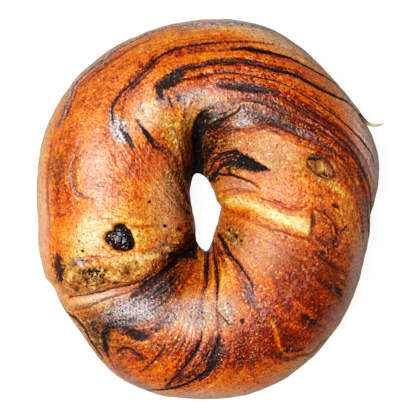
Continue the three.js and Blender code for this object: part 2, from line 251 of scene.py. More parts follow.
        (-48.6, 20), (-49.4, 12), (-49.6, 4), (-49, -4)]),
    "orange flake by the raisin": Streak(0.1, (0.2, 0.7, 0.8, 0.3), 0, [
        (-26, -3.2), (-24, -2.2), (-22, -1.8), (-20, -2), (-18.4, -2.8)]),
    "red flake at the raisin": Streak(0.05, (0.5, 1, 0.5), 0, [(-30.4, -2.8), (-29.6, -3.8), (-29, -4.8)]),
    "upper edge of the torn patch": Streak(0.5, (0.15, 0.35, 0.35, 0.15), 0.2, [
        (-20, -13.3), (-17, -12.2), (-14, -10.7), (-10, -10.3)]),
    "grey line in the lower crest": Streak(0.4, (0.2, 0.6, 0.2), 0, [(3, -32), (3.2, -35), (3, -37.5)]),
    "soft line by the right pleat": Streak(0.45, (0.2, 0.8, 0.9, 0.3), 0.1, [
        (11, -22), (12.4, -25.6), (14, -28.6), (15.5, -31)]),
    "sixth arc": Streak(0.75, (0.1, 0.3, 0.4, 0.4, 0.15), 0.15, [
        (24, 33), (32, 28), (39, 23), (45, 17), (49, 10)]),
    "seventh arc": Streak(0.5, (0.1, 0.2, 0.2, 0.1), 0.1, [
        (30, 31.5), (37, 27), (43, 22), (48, 16), (50.5, 10)]),
    "second line left of the crease": Streak(0.6, (0.1, 0.25, 0.25, 0.1), 0.15, [
        (-7.6, 17), (-7, 13), (-6.6, 9)]),
    "third line left of the crease": Streak(0.5, (0.1, 0.25, 0.25, 0.1), 0.15, [
        (-9, 20), (-7.6, 16), (-6.9, 12)]),
    "rim of the pit": Streak(0.7, (0.2, 0.28, 0.3, 0.2, 0.34, 0.2), 0.5, [
        (30.6, 15.8), (33, 16.6), (36, 14.8), (38.4, 11.4), (37.4, 9.6), (34.6, 10.2), (31.4, 12.6),
        (30.2, 14.6)]),
    "corner of the pit": Streak(0.95, (0.2, 0.6, 0.3, 0.12), 0, [
        (30.4, 15.4), (31.2, 15.5), (32.6, 15.6), (34.6, 15.4)]),
    "small hole": Streak(0.95, (0.3, 0.6, 0.3), 0.6, [(38.1, 1.5), (38.9, 1.1), (39.7, 0.8)]),
    "slit": Streak(0.7, (0.1, 0.3, 0.1), 0.3, [(19, 24.4), (20.5, 24), (22, 23.3)]),
    "tail of the torn flap": Streak(0.6, (0.1, 0.35, 0.3, 0.1), 0.25, [
        (33, -12.5), (35.5, -15), (38, -17), (40, -18)]),
    "blotch by the flap": Streak(0.75, (0.3, 0.8, 0.3), 0.1, [(34.2, -12.8), (35, -13.1), (35.8, -13.2)]),
    "dark foot of the lower right": Streak(0.55, (0.2, 0.6, 0.9, 0.7, 0.5, 0.3, 0.1), 0.2, [
        (18.9, -42.7), (22, -45.1), (25.3, -45.9), (28.4, -45.1), (31.2, -44.7), (33.2, -43.5),
        (34.8, -41.5), (36.8, -40.3)]),
    "slanted line at lower right": Streak(0.85, (0.1, 0.5, 0.4, 0.1), 0.25, [
        (29.2, -32.3), (31.6, -33.9), (34, -35.5)]),
    "line on the right flank": Streak(0.85, (0.1, 0.4, 0.35, 0.1), 0.2, [
        (38.8, -23.2), (40, -24.8), (41.2, -26.4)]),
}

# Faint lines that run beside a streak: the streak, and their distances to its left
FINE_LINES = {
    "outermost arc": (1.2, -1.1, 2.3),
    "second arc": (1.5, 2.6, -1.3, -2.3),
    "third arc": (1.2, 2.2, -1.2, -2.2),
    "fourth arc": (1.1, -0.9, -1.8, -2.7, -3.7, -4.8),
    "dark band beside the inner strand": (1.5, 3, -1.3, -2.6),
    "edge of the inner strand": (-1.2, -2.3),
    "outer left band": (1.4, -1.4),
    "seam of the lap": (-1.2, 1.1),
    "seam of the second layer": (-1.1, -2.1, -3.2),
    "black band below the lap": (-2.2, -3.3, -4.5, -5.8, -7.2),
    "main lower line": (1.8, 3, -1.9, -3),
    "second lower line": (0.9, 1.9, -0.9, -1.9),
    "left pleat": (0.9, 1.8, -0.8),
    "middle pleat": (0.7, -0.8),
    "right pleat": (1, 2, -1, -2, -3),
    "upper line to the hole": (1, -1.1, 2.2),
}
FINE_LINE_WIDTH = 0.42
FINE_LINE_SEED = 11

# Dark dots in the crust: where they are, and their radius
DOTS = [
    ((-18, 8.1), 0.35), ((-18, 2.4), 0.5), ((-19.5, 2.8), 0.35), ((-38.5, -12.5), 0.4), ((-39.6, -9.4), 0.3),
    ((-13.3, -4.9), 0.5), ((11.9, -28.3), 0.5), ((-13.3, -52.4), 0.4), ((-36.5, 24.5), 0.35),
    ((10.3, -34), 0.8),
    ((6.4, -6.2), 0.5), ((8.6, -8), 0.6), ((10, -9.6), 0.4), ((-30, 16), 0.3), ((-24, 38), 0.3),
    ((41, -3.6), 0.4), ((42, -5.4), 0.5), ((41.4, -6.2), 0.4), ((36.4, -12), 0.5),
]

# Streaks that spiral down the outer flank to the base
FLANK_STREAKS = 11
FLANK_SEED = 5
FLANK_GROOVE = 0.15

# How far past its edge a streak is worked out, the distance that stands for none near, and how many
# millimetres the marbling takes to fade away from the streaks
REACH_MARGIN = 1.3
FAR = 3.0
STREAK_FADE = 4

# The way that the dough was rolled and stretched: how coarsely it is worked out, how far strands run,
# and how weakly the way round the ring leads them
FLOW_THINNING = 4
FLOW_STEP = 0.4
FLOW_STEPS = 32
RING_PULL = 4e-4
FLOW_SEED = 3

# Broad changes in the crust, as soft ovals: middle, half sizes, turn in degrees, and the value there.
# Bake runs from 0, cream, over 0.2, golden tan, and 0.6, orange, to 1, dark brown.
Pool = namedtuple("Pool", "middle half turned value")
CROWN_BAKE, FLANK_BAKE, BASE_BAKE = 0.52, 0.34, 0.5
BAKE_POOLS = {
    "strip of deep orange on the left": Pool((-44.4, 9), (5, 15), 0, 0.74),
    "pale crest of the left side": Pool((-33.6, 8), (7.4, 18), 0, 0.62),
    "yellow below it": Pool((-44.6, -8), (3.4, 7), 0, 0.5),
    "cream left of the raisin": Pool((-37, -9), (5.6, 6.4), 0, 0.12),
    "orange below the ticks": Pool((-22.6, 13.2), (6.4, 6.6), 0, 0.66),
    "golden wall left of the hole": Pool((-12, 6), (6, 10), 0, 0.3),
    "golden tan round the raisin": Pool((-24, -6), (12, 7), 0, 0.2),
    "orange right of the raisin": Pool((-16.6, -5.6), (3.6, 4), 0, 0.42),
    "bright orange at upper left": Pool((-29, 39), (16, 8), 42, 0.6),
    "deep orange left of it": Pool((-43.6, 28), (3.4, 6), 20, 0.72),
    "yellow spot": Pool((-38, 28), (3.5, 3), 20, 0.44),
    "cream between the ticks and the crease": Pool((-18.6, 29.4), (4.4, 3.4), 30, 0.14),
    "golden tan left of the crease": Pool((-8.6, 24), (5.6, 7), 0, 0.16),
    "tan above the cream": Pool((-22.6, 34.2), (6, 4), 40, 0.68),
    "rust between the ticks": Pool((-17, 16), (4.5, 5.5), -20, 0.72),
    "orange of the upper arcs": Pool((6, 47), (26, 5), 0, 0.6),
    "light orange above them": Pool((-9, 52.6), (14, 3.6), 14, 0.42),
    "peach at the top": Pool((12, 55.6), (14, 2.6), -8, 0.3),
    "peach at the upper right": Pool((23, 52), (15, 4), -24, 0.12),
    "rust below the arcs": Pool((-1, 38.8), (12, 2.6), 4, 0.68),
    "brown above the inner strand": Pool((21, 29), (13, 5), -32, 0.84),
    "brown of the right strand": Pool((35, 25), (13, 3.6), -43, 0.76),
    "orange between the arcs": Pool((31, 35.4), (15, 4.6), -38, 0.54),
    "brown further down": Pool((47, 12), (3, 12), 12, 0.76),
    "cream at the right edge": Pool((50.5, 20), (3, 12), 26, 0.06),
    "gold by the crease": Pool((8.6, 19), (6, 4), 0, 0.46),
    "brown right of the crease": Pool((7, 24.4), (4.6, 2.4), 0, 0.84),
    "peach of the inner strand": Pool((22, 16), (9, 7), -20, 0.34),
    "orange of the inner strand": Pool((27, 6), (9, 5), -10, 0.52),
    "cream stretch by the hole": Pool((9, 2.6), (6.5, 2.2), -4, 0.04),
    "cream stretch further out": Pool((19, -1), (7, 2.2), -22, 0.3),
    "its outer end": Pool((27, -4), (5, 3), -10, 0.14),
    "orange above the stretch": Pool((21, 2.6), (7, 1.8), -24, 0.6),
    "flap of torn crust": Pool((36.5, -4.4), (4, 5), 20, 0.66),
    "dark end of the flap": Pool((36.6, -9.6), (3.4, 1.8), -20, 0.9),
    "tan right of the flap": Pool((42.4, -6), (2.8, 4.6), 0, 0.24),
    "orange at the right": Pool((41, 5), (6, 12), 10, 0.64),
    "tan by the small hole": Pool((41, -1), (4, 3.5), 0, 0.34),
    "mauve crest on the right": Pool((18, -12), (8, 9), 0, 0.5),
    "deep orange-brown at lower right": Pool((30, -25), (17, 14), 30, 0.85),
    "brown foot at lower right": Pool((27, -39), (10, 5), 20, 0.88),
    "orange at the bottom": Pool((9.4, -43.6), (10, 7), 0, 0.92),
    "tan below the hole": Pool((7, -8), (5, 4), 0, 0.34),
    "orange between the pleats": Pool((-6, -22), (5, 7), 0, 0.58),
    "peach of the lower crest": Pool((4, -31.4), (5.6, 5.4), 0, 0.3),
    "tan of the pleats": Pool((3.4, -20), (3, 5), 0, 0.26),
    "rust right of the lower crest": Pool((16, -37), (7, 6), 0, 0.84),
    "rust below the lower pleats": Pool((-9, -42), (8, 4), 0, 0.82),
    "orange wedge": Pool((-19, -44), (10, 5), 20, 0.73),
    "brown at lower left": Pool((-34, -39), (6, 9), 40, 0.7),
    "rust at the foot of the lower left": Pool((-26, -51), (8, 3.4), -35, 0.76),
    "tan below the lap": Pool((-33, -27.2), (10, 3.6), 6, 0.02),
    "brown under the lap": Pool((-16, -25), (9, 3.6), 26, 0.86),
    "cream above the torn patch": Pool((-22, -15.2), (6, 2.4), 12, 0.12),
    "cream at the patch's left end": Pool((-42, -16), (2.4, 4), 0, 0.16),
    "pinkish tan at the bottom": Pool((6, -56), (14, 2.4), 0, 0.52),
}

# A grey film of cinnamon ash, which painted sheen lights from grey to white on the crests; on the rims it is
# a painted grey reflection
ASH_AND_SHEEN_POOLS = {
    "above the inner strand": Pool((17, 31.6), (8, 3.2), -26, 0.4),
    "round the mouth of the crease": Pool((3, 31), (10, 4), 0, 0.72),
    "left mouth of the crease": Pool((-8, 33.8), (8, 2.8), 12, 0.55),
    "right of the crease": Pool((10, 28.4), (6, 3.2), -14, 0.6),
    "middle of it": Pool((10.6, 27.6), (2.8, 1.8), -14, 0.85),
    "right lip of the crease": Pool((2.6, 29.4), (4.6, 2), 24, 0.82),
    "end of the outermost arc": Pool((-27, 24.6), (2.8, 4.4), 20, 1.2),
    "below the lap": Pool((-24, -31.5), (10, 5.4), 12, 1.1),
    "between it and the pleats": Pool((-13, -32), (7, 4.4), 24, 0.85),
    "beside the lower pleats": Pool((-4, -32), (4, 6), 0, 0.62),
    "by the right pleat": Pool((12.5, -26), (2.2, 5), 28, 0.6),
    "mauve crest on the right": Pool((17, -12), (8, 8), 0, 0.37),
    "inner strand": Pool((23, 13), (7, 8), -20, 0.33),
    "lower crest right of the pleats": Pool((4, -32), (5, 6), 0, 0.36),
    "crest between the ticks and the crease": Pool((-19, 30), (5, 4), 30, 0.36),
    "right flank": Pool((49, -2), (2.4, 10), -4, 0.3),
    "lower right rim": Pool((41.6, -31), (2.6, 12), -34, 0.36),
    "end of the third arc": Pool((-15, 33.6), (2, 2), 0, 0.6),
    "grey spot in the torn patch": Pool((-39.5, -16.6), (2.8, 2.2), 0, 1.2),
    "grey right end of the torn patch": Pool((-14, -12), (4, 2.4), 24, 0.8),
    "foot at lower left": Pool((-20, -55), (10, 2), -28, 0.6),
}

# Places painted black: burnt cinnamon, and painted shade in the crease, on the hole's walls, in the lap and
# at the roots of the pleats
SOOT_AND_SHADE_POOLS = {
    "right mouth of the crease": Pool((-0.4, 27.4), (4.8, 3.8), 24, 1.4),
    "its fading end": Pool((3.4, 28.4), (5.6, 4), 20, 0.85),
    "feathers above it": Pool((4, 31), (4, 1.6), 30, 0.5),
    "dots right of it": Pool((15, 30.4), (9, 4.2), -22, 0.76),
    "right wall of the crease": Pool((-1.6, 17), (2.6, 5), 0, 1.1),
    "left of the crease": Pool((-6.4, 26), (1.6, 6), 8, 0.3),
    "left wall of the hole": Pool((-6.2, 4), (3.2, 10), 0, 0.66),
    "streaks left of the hole": Pool((-10.4, 10), (4.4, 9), -8, 0.5),
    "top of the hole": Pool((-4.6, 11.4), (4, 3.6), -20, 1),
    "lap by the hole": Pool((-7.4, -12), (5.6, 4), 24, 1),
    "hole's lower left wall": Pool((-5, -10), (2.4, 5), 0, 1),
    "right of the crease": Pool((0.4, 21), (3, 5), 0, 0.85),
    "right of the triangle": Pool((18, 30.6), (8, 3.2), -34, 0.7),
    "below the lap": Pool((-15, -19.6), (8.6, 2.8), 34, 0.95),
    "between the lap and the pleats": Pool((-15.6, -25), (8.6, 4.2), 34, 0.86),
    "dark end of the third arc": Pool((-11, 39), (5, 2.2), 24, 0.85),
    "its tail": Pool((-14.8, 35.6), (1.6, 3), -14, 0.8),
    "beside the tail": Pool((-11, 34), (2.8, 1.8), 10, 0.45),
    "tear": Pool((9.6, 14.6), (8, 2.2), -14, 1),
    "hole's edge below the tear": Pool((1.4, 10.4), (2.6, 2.8), 40, 0.9),
    "spot at lower left": Pool((-32.4, -40), (2.4, 4.5), 0, 0.85),
    "cluster at lower left": Pool((-24, -38), (5, 1.8), 8, 0.75),
    "smear above the lap": Pool((-46, -17.6), (2.8, 5.4), 8, 0.8),
    "right strand": Pool((20, 29), (11, 2.2), -34, 0.6),
    "right strand further down": Pool((46.5, 9), (2.2, 12), 14, 0.3),
    "foot at lower right": Pool((24, -43.5), (7, 1.6), 12, 0.6),
    "right edge": Pool((49, -2), (2.4, 9), -4, 0.5),
    "right flank": Pool((42, -21), (1.8, 8), -14, 0.5),
    "bottom lines": Pool((-7, -51), (7, 1.8), 38, 0.5),
    "dark roots of the pleats": Pool((2.2, -14.5), (4.5, 4.5), 0, 0.5),
    "below the lap's corner": Pool((-36, -35), (6, 1.4), -38, 0.5),
    "all of the lower left": Pool((-20, -34), (15, 7.6), 12, 0.36),
    "speckled dark below the ash": Pool((-23, -37), (9, 3), 4, 0.55),
    "outer foot of the lower left": Pool((-34, -40), (6, 9), 40, 0.48),
    "left end of the torn patch": Pool((-40, -22), (3, 1.4), 0, 0.5),
    "speckled brown on the left": Pool((-45.4, 14.6), (2.6, 3), 0, 0.45),
    "lower side of the pit": Pool((36, 11), (2.6, 1.2), -35, 0.5),
    "craters of the torn patch": Pool((-35, -20), (4.6, 2.8), -10, 0.72),
    "its upper left": Pool((-37, -15.4), (4, 1.2), 0, 0.4),
}

# Rough places where the skin is torn
TORN_POOLS = {
    "patch above the lap": Pool((-30, -20), (15, 3.2), 8, 1),
    "its wide left end": Pool((-39, -20), (6, 4.6), 0, 1),
    "its right end": Pool((-13.5, -13), (5, 2.6), 24, 0.9),
    "rough foot at lower left": Pool((-37, -38), (5, 9), 40, 0.5),
    "floor of the pit": Pool((34.3, 12.9), (5, 2.7), -35, 1),
    "crust beside the tear": Pool((8, 12), (6, 2), -8, 0.4),
}

# Toasted brown over the crust's own colour, with painted shade near the hole, the crease and the lap
TOAST_AND_SHADE_POOLS = {
    "left of the hole": Pool((-9, 6), (5, 11), 0, 0.6),
    "left of the crease": Pool((-11, 20), (5, 9), 0, 0.3),
    "right of the crease": Pool((5, 22), (6, 5), 0, 0.8),
    "round the tear": Pool((8, 9), (8, 7), -10, 0.5),
    "under the hole at the right": Pool((7, -8), (6, 5), -30, 0.6),
    "between the lap and the pleats": Pool((-11, -21), (9, 7), 34, 0.9),
    "lower pleats": Pool((-11, -41), (6, 3.4), 20, 0.5),
    "pleats": Pool((-3, -19), (6, 7), 0, 0.5),
    "torn patch": Pool((-28, -19), (16, 4), 8, 0.3),
    "between the raisin and the hole": Pool((-13, -8), (6, 5), 0, 0.4),
    "lower left foot": Pool((-34, -38), (8, 10), 40, 0.62),
    "foot at the bottom left": Pool((-26, -52), (7, 3), -35, 0.45),
    "below the ash": Pool((-22, -39), (11, 4), 6, 0.6),
    "right strand": Pool((31, 25), (14, 5), -43, 0.4),
    "right of the triangle": Pool((18, 29), (8, 5), -30, 0.7),
    "flap": Pool((35.8, -5), (3.6, 5.4), 0, 0.5),
    "left edge": Pool((-46, 13), (4, 6), 0, 0.75),
    "notch by the lap": Pool((-47.4, -27), (3, 4), 0, 0.5),
    "inside of the pit": Pool((34.6, 12.4), (3.6, 2), -35, 0.5),
    "right side": Pool((38, -18), (9, 14), 20, 0.35),
    "bottom lines": Pool((-6, -50), (8, 4), 30, 0.4),
    "end of the third arc": Pool((-13, 36), (5, 4), 0, 0.5),
}

# Places where the skin is finely wrinkled, and how wrinkled it is elsewhere
WRINKLED_ELSEWHERE = 0.1
WRINKLED_POOLS = {
    "inner strand by the crease": Pool((17, 17), (9, 6), -30, 0.6),
    "right of the crease": Pool((2, 21), (4, 5), 0, 1),
    "left of the crease": Pool((-12, 22), (6, 9), 0, 0.8),
    "round the pit": Pool((34, 12), (8, 6), -40, 0.7),
    "flap at the right": Pool((40, -4), (7, 8), 0, 0.6),
    "under the hole at the right": Pool((8, -8), (6, 5), -30, 0.9),
    "right crest": Pool((24, -16), (12, 8), 30, 0.5),
    "by the maroon crook": Pool((4, -32), (6, 7), 0, 0.7),
    "lower left foot": Pool((-33, -38), (9, 9), 40, 1),
    "upper left": Pool((-30, 36), (12, 8), 40, 0.3),
}

# A painted pinkish sheen over the crests, and a painted grey-white reflection along the rims
PAINTED_SHEEN_POOLS = {
    "inner strand": Pool((18, 17), (7.6, 7), -30, 0.42),
    "below the tear": Pool((10, 7), (7, 3), -10, 0.25),
    "crest right of the hole": Pool((17, -13), (8, 7), 0, 0.34),
    "lower crest": Pool((4, -31.4), (5, 5.4), 0, 0.8),
    "beside the lower pleats": Pool((-4.6, -32.4), (6, 4.8), 10, 1),
    "strip below the lap": Pool((-31, -26.6), (10, 2.6), 8, 0.55),
    "above the torn patch": Pool((-20, -14.6), (5, 2.2), 12, 0.14),
    "below the arcs": Pool((0, 34.8), (9, 2.6), 0, 0.42),
    "left crest": Pool((-34.4, 10), (4.4, 14), 8, 0.3),
    "left of the raisin": Pool((-37, -8), (5, 6), 0, 0.2),
    "left rim": Pool((-51, -4), (2.4, 18), 0, 0.32),
    "inside of the pit": Pool((34.6, 12.8), (3.6, 2.2), -35, 0.4),
    "golden wall left of the hole": Pool((-12, 3), (6, 10), 0, 0.3),
    "between the ticks and the crease": Pool((-18, 28.6), (5, 4.6), 30, 0.36),
    "bottom rim": Pool((4, -57.4), (16, 2.2), 0, 0.26),
    "right edge": Pool((50, 19), (4, 17), 20, 0.85),
    "right flank": Pool((47, -16), (3, 14), -12, 0.46),
    "upper right": Pool((22, 53), (16, 4), -22, 0.3),
    "top rim": Pool((4, 58.8), (18, 2), 0, 0.75),
}

# Pale lines and stretches where the dough split while it baked: half widths, and route
PALE_LINES = [
    ((0.3, 0.9, 1.2, 1.6, 2.2), [(5, 2.8), (10, 2.6), (15.5, 0.6), (20.8, -2.1), (26, -4.2), (30.6, -5.4)]),
    ((0.2, 0.6, 0.7, 0.3), [(31.6, 10.6), (35, 9), (38, 7.4), (43, 4)]),
    ((0.1, 0.22, 0.18, 0.22, 0.1), [(18.5, -32.8), (20, -35.1), (20.9, -38.7), (21.7, -41.5), (23.3, -43.9)]),
    ((0.2, 0.5, 0.4), [(5, -13.6), (6.4, -16.4), (8.4, -20)]),
    ((0.2, 0.5, 0.3), [(-13.6, 28.6), (-11, 27.6), (-9, 26)]),
    ((0.1, 0.3, 0.2), [(43, 14), (45, 11.4), (46, 8)]),
]

# Grey, sooty lines, which show through the ash film with its painted sheen: half widths, and route
ASH_LINES = [
    ((0.6, 1.8, 2.2, 2, 1.6, 0.8), [
        (-46.6, 24.6), (-43, 34.4), (-39.8, 40.6), (-31.9, 47), (-25.5, 51.3), (-17.9, 54.9), (-13.9, 56.1)]),
    ((0.5, 1.1, 1.4, 0.6), [(-29.6, 31), (-29.2, 27), (-27.6, 23.4), (-25, 20.4)]),
    ((0.3, 0.6, 0.7, 0.2), [(-22.6, 28.4), (-20.8, 25.8), (-19.2, 23.4), (-18, 21.6)]),
    ((0.2, 0.45, 0.5, 0.4, 0.15), [(-41.7, 13.5), (-41.8, 9), (-40.3, 5), (-38.5, 4.2), (-35, 3.2)]),
    ((0.2, 0.5, 0.5, 0.3), [(-2.2, -39), (-1.8, -35), (-1.7, -30), (-2, -27), (-1.2, -24)]),
    ((0.2, 0.4, 0.4, 0.2), [(2.9, -40), (3, -35), (2.7, -31), (2.6, -27)]),
    ((0.2, 0.5, 0.4, 0.2), [(2, 38), (8, 37.6), (14, 37.2), (20, 36.2)]),
    ((0.2, 0.5, 0.4, 0.2), [(4, 34), (10, 34.2), (16, 33), (24, 29)]),
    ((0.3, 0.7, 0.7, 0.4), [(-9.5, 33.5), (-6, 34.8), (-3, 35.8), (0, 36.2)]),
    ((0.5, 1.8, 1.8, 0.8), [(-20, 55.2), (-10, 56.8), (0, 57.6), (12, 57.4), (22, 55.4)]),
]

# The raisin's outline from above: radius about its middle at some headings in degrees
RAISIN_MIDDLE = np.array([-27, -8.3])
RAISIN_OUTLINE = [
    (-165, 4.6), (-140, 3.9), (-90, 4.2), (-47, 5.1), (-33, 5.5), (1, 4.2), (52, 3.6), (70, 4.4),
    (97, 4.3), (119, 3.8), (137, 2.7), (152, 3.9), (170, 4.6),
]
RAISIN_FOLDS = 0.12

# The pocket that the raisin lies in, and the low lip about it. The wall, and the lip's place and width,
# are shares of the raisin's radius. Both start between two heights, so the base stays flat below them.
POCKET_DEPTH = 2.3
POCKET_WALL = (0.86, 1.06)
POCKET_LEVELS = (28, 32)
LIP_HEIGHT = 0.25
LIP_PLACE = 1.24
LIP_WIDTH = 0.14

# The dried thread of dough that sticks out at the upper right: its route, its half widths at shares of
# its length, and how far it starts within the crust and rises from there
THREAD_ROUTE = [(46.6, 29.6), (48.2, 28), (49.6, 26.8), (51, 26.2), (52.6, 26.3), (54.2, 26.8)]
THREAD_SHARES = (0, 0.3, 0.6, 0.85, 1)
THREAD_HALF_WIDTHS = (0.8, 0.55, 0.42, 0.42, 0.15)
THREAD_FLATNESS = 0.7
THREAD_SIDES = 12
THREAD_ROOT_DEPTH = 0.4
THREAD_RISE = 1.4

# The frame's X between which the thread turns from brown to pale
THREAD_FADE = (47.5, 51.5)


def smooth(low, high, x):
    share = np.clip((x - low) / (high - low), 0, 1)
    return share * share * (3 - 2 * share)


def signed_power(x, power):
    return np.sign(x) * np.abs(x) ** power


def unit(vectors):
    """Vectors made one long."""
    return vectors / np.maximum(np.linalg.norm(vectors, axis=-1, keepdims=True), 1e-12)


def between(a, b, c, d, f):
    """A point on the smooth curve through four in a row, at a share f of the way from b to c."""
    return b + 0.5 * f * (c - a + f * (2 * a - 5 * b + 4 * c - d + f * (3 * (b - c) + d - a)))


def round_the_ring(values, turn):
    """A smooth curve through values that are spaced evenly round the ring."""
    values = np.array(values, float)
    place = (turn % 1) * len(values)
    at = np.floor(place).astype(int)
    return between(*(values[(at + k) % len(values)] for k in (-1, 0, 1, 2)), place - at)


def plain_ring(turn, angle):
    """The smooth ring without its folds. Angle 0 is the outer waist and a quarter turn is the crest."""
    outer, inner = round_the_ring(OUTER_RADII, turn), round_the_ring(HOLE_RADII, turn)
    up = np.sin(angle)
    squareness = np.where(up > 0, CROWN_SQUARENESS, BASE_SQUARENESS)
    height = np.where(up > 0, round_the_ring(CROWN_RISES, turn), BASE_DROP)
    radius = (outer + inner) / 2 + signed_power(np.cos(angle), 2 / squareness) * (outer - inner) / 2
    heading = 2 * np.pi * turn
    return np.stack([
        HOLE_MIDDLE[0] + radius * np.cos(heading),
        HOLE_MIDDLE[1] + radius * np.sin(heading),
        WAIST_HEIGHT + signed_power(up, 2 / squareness) * height,
    ], axis=-1)


def beside_route(x, y, route):
    """Where plan points lie beside a route: distance, side, and how far along it."""
    distance, side, along = np.full(x.shape, np.inf), np.zeros(x.shape), np.zeros(x.shape)
    for k, ((ax, ay), (bx, by)) in enumerate(zip(route, route[1:])):
        dx, dy = bx - ax, by - ay
        share = np.clip(((x - ax) * dx + (y - ay) * dy) / (dx * dx + dy * dy), 0, 1)
        here = np.hypot(x - ax - share * dx, y - ay - share * dy)
        nearer = here < distance
        distance = np.where(nearer, here, distance)
        side = np.where(nearer, np.sign(dx * (y - ay) - dy * (x - ax)), side)
        along = np.where(nearer, (k + share) / (len(route) - 1), along)
    return distance, side, along


def pit_oval(x, y):
    """How far plan points are from the middle of the pit, with 1 at its rim."""
    dx, dy = x - PIT_MIDDLE[0], y - PIT_MIDDLE[1]
    lengthways = dx * math.cos(PIT_TURNED) + dy * math.sin(PIT_TURNED)
    sideways = dy * math.cos(PIT_TURNED) - dx * math.sin(PIT_TURNED)
    return np.hypot(lengthways / PIT_HALF_LENGTH, sideways / PIT_HALF_WIDTH)


def relief_at(x, y, turn, angle):
    """How far the crust stands out from the plain ring, from its folds, pleats, pit and unevenness."""
    relief = np.zeros(x.shape)
    for step, groove, width, reach, route in FOLDS:
        distance, side, along = beside_route(x, y, route)
        ends = smooth(0, 0.12, along) * (1 - smooth(0.88, 1, along))
        relief += 0.5 * step * side * smooth(0, width, distance) * np.exp(-distance / reach) * ends
        relief -= groove * np.exp(-((distance / width) ** 2)) * ends
    for route in PLEATS:
        distance, _, along = beside_route(x, y, route)
        relief -= PLEAT_DEPTH * (1 - along) ** 0.7 * np.exp(-((distance / PLEAT_WIDTH) ** 2))
    relief -= PIT_DEPTH * (1 - smooth(0.55, 1.15, pit_oval(x, y)))
    waves = sum(
        height * np.sin(2 * np.pi * around * turn + across * angle + phase)
        for height, around, across, phase in UNEVENNESS
    )
    return relief * smooth(-0.35, 0.1, np.sin(angle)) + waves * np.sin(angle) ** 2


def press_at(x, y):
    """The share of the crown's rise that the creases leave at plan points."""
    kept = np.ones(x.shape)
    for press, width, route in CREASES:
        distance, _, along = beside_route(x, y, route)
        kept *= 1 - press * (1 - smooth(0.25, 1, along)) * np.exp(-((distance / width) ** 2))
    return kept


def crust_points(turn, angle):
    """Points of the crust with its folds, before its fine relief."""
    nudge = 1e-4
    point = plain_ring(turn, angle)
    along_ring = plain_ring(turn + nudge, angle) - point
    across_ring = plain_ring(turn, angle + nudge) - point
    outwards = unit(np.cross(along_ring, across_ring))
    relief = relief_at(point[..., 0], point[..., 1], turn, angle) * smooth(0, 4, point[..., 2])
    point = point + outwards * relief[..., None]
    rise = point[..., 2] - WAIST_HEIGHT
    pressed = np.where(rise > 0, rise * press_at(point[..., 0], point[..., 1]), rise)
    point[..., 2] = np.maximum(WAIST_HEIGHT + pressed, 0)
    return point


def crust_grid():
    """Points of the whole crust, one row after another across the dough, and each point's angle."""
    turn = np.arange(COLUMNS) / COLUMNS
    lower = np.linspace(-BASE_ANGLE, 0, FLANK_ROWS, endpoint=False)
    crown = np.linspace(0, np.pi, CROWN_ROWS, endpoint=False)
    inner = np.linspace(np.pi, np.pi + BASE_ANGLE, FLANK_ROWS + 1)
    angle = np.concatenate([lower, crown, inner])
    points = crust_points(turn[:, None], angle[None, :])
    points[:, 0, 2] = points[:, -1, 2] = 0
    share = np.linspace(0, 1, BASE_ROWS + 1)[1:-1]
    base = points[:, -1:, :] * (1 - share[:, None]) + points[:, :1, :] * share[:, None]
    base_angle = np.pi + BASE_ANGLE + share * (np.pi - 2 * BASE_ANGLE)
    angles = np.tile(np.concatenate([angle, base_angle]), (COLUMNS, 1))
    return np.concatenate([points, base], axis=1), angles


def grid_faces(columns, rows):
    """Quads over a grid that closes on itself both ways, counted column by column."""
    column, row = np.divmod(np.arange(columns * rows), rows)
    next_column, next_row = (column + 1) % columns, (row + 1) % rows
    corners = [(column, row), (next_column, row), (next_column, next_row), (column, next_row)]
    return np.stack([c * rows + r for c, r in corners], axis=1)


def grid_normals(points):
    along = np.roll(points, -1, axis=0) - np.roll(points, 1, axis=0)
    across = np.roll(points, -1, axis=1) - np.roll(points, 1, axis=1)
    return unit(np.cross(along, across))


def curve_through(route, spacing=0.4):
    """Evenly spaced points on a smooth curve through the points of a route."""
    route = np.array(route, float)
    ends = np.vstack([2 * route[0] - route[1], route, 2 * route[-1] - route[-2]])
    dense = [route[0]]
    for corners in zip(ends, ends[1:], ends[2:], ends[3:]):
        dense += [between(*corners, f) for f in np.linspace(0, 1, 13)[1:]]
    dense = np.array(dense)
    length = np.concatenate([[0], np.cumsum(np.linalg.norm(np.diff(dense, axis=0), axis=1))])
    at = np.linspace(0, length[-1], max(2, round(length[-1] / spacing) + 1))
    return np.stack([np.interp(at, length, column) for column in dense.T], axis=1)


def onto_crust(tree, plan):
    """The points of the crust that show from above at plan points."""
    found = []
    for x, y in plan:
        hit = tree.ray_cast(Vector((x, y, 100)), Vector((0, 0, -1)))[0]
        if hit is None:
            hit = tree.find_nearest(Vector((x, y, WAIST_HEIGHT)))[0]
        found.append(hit)
    return np.array(found)


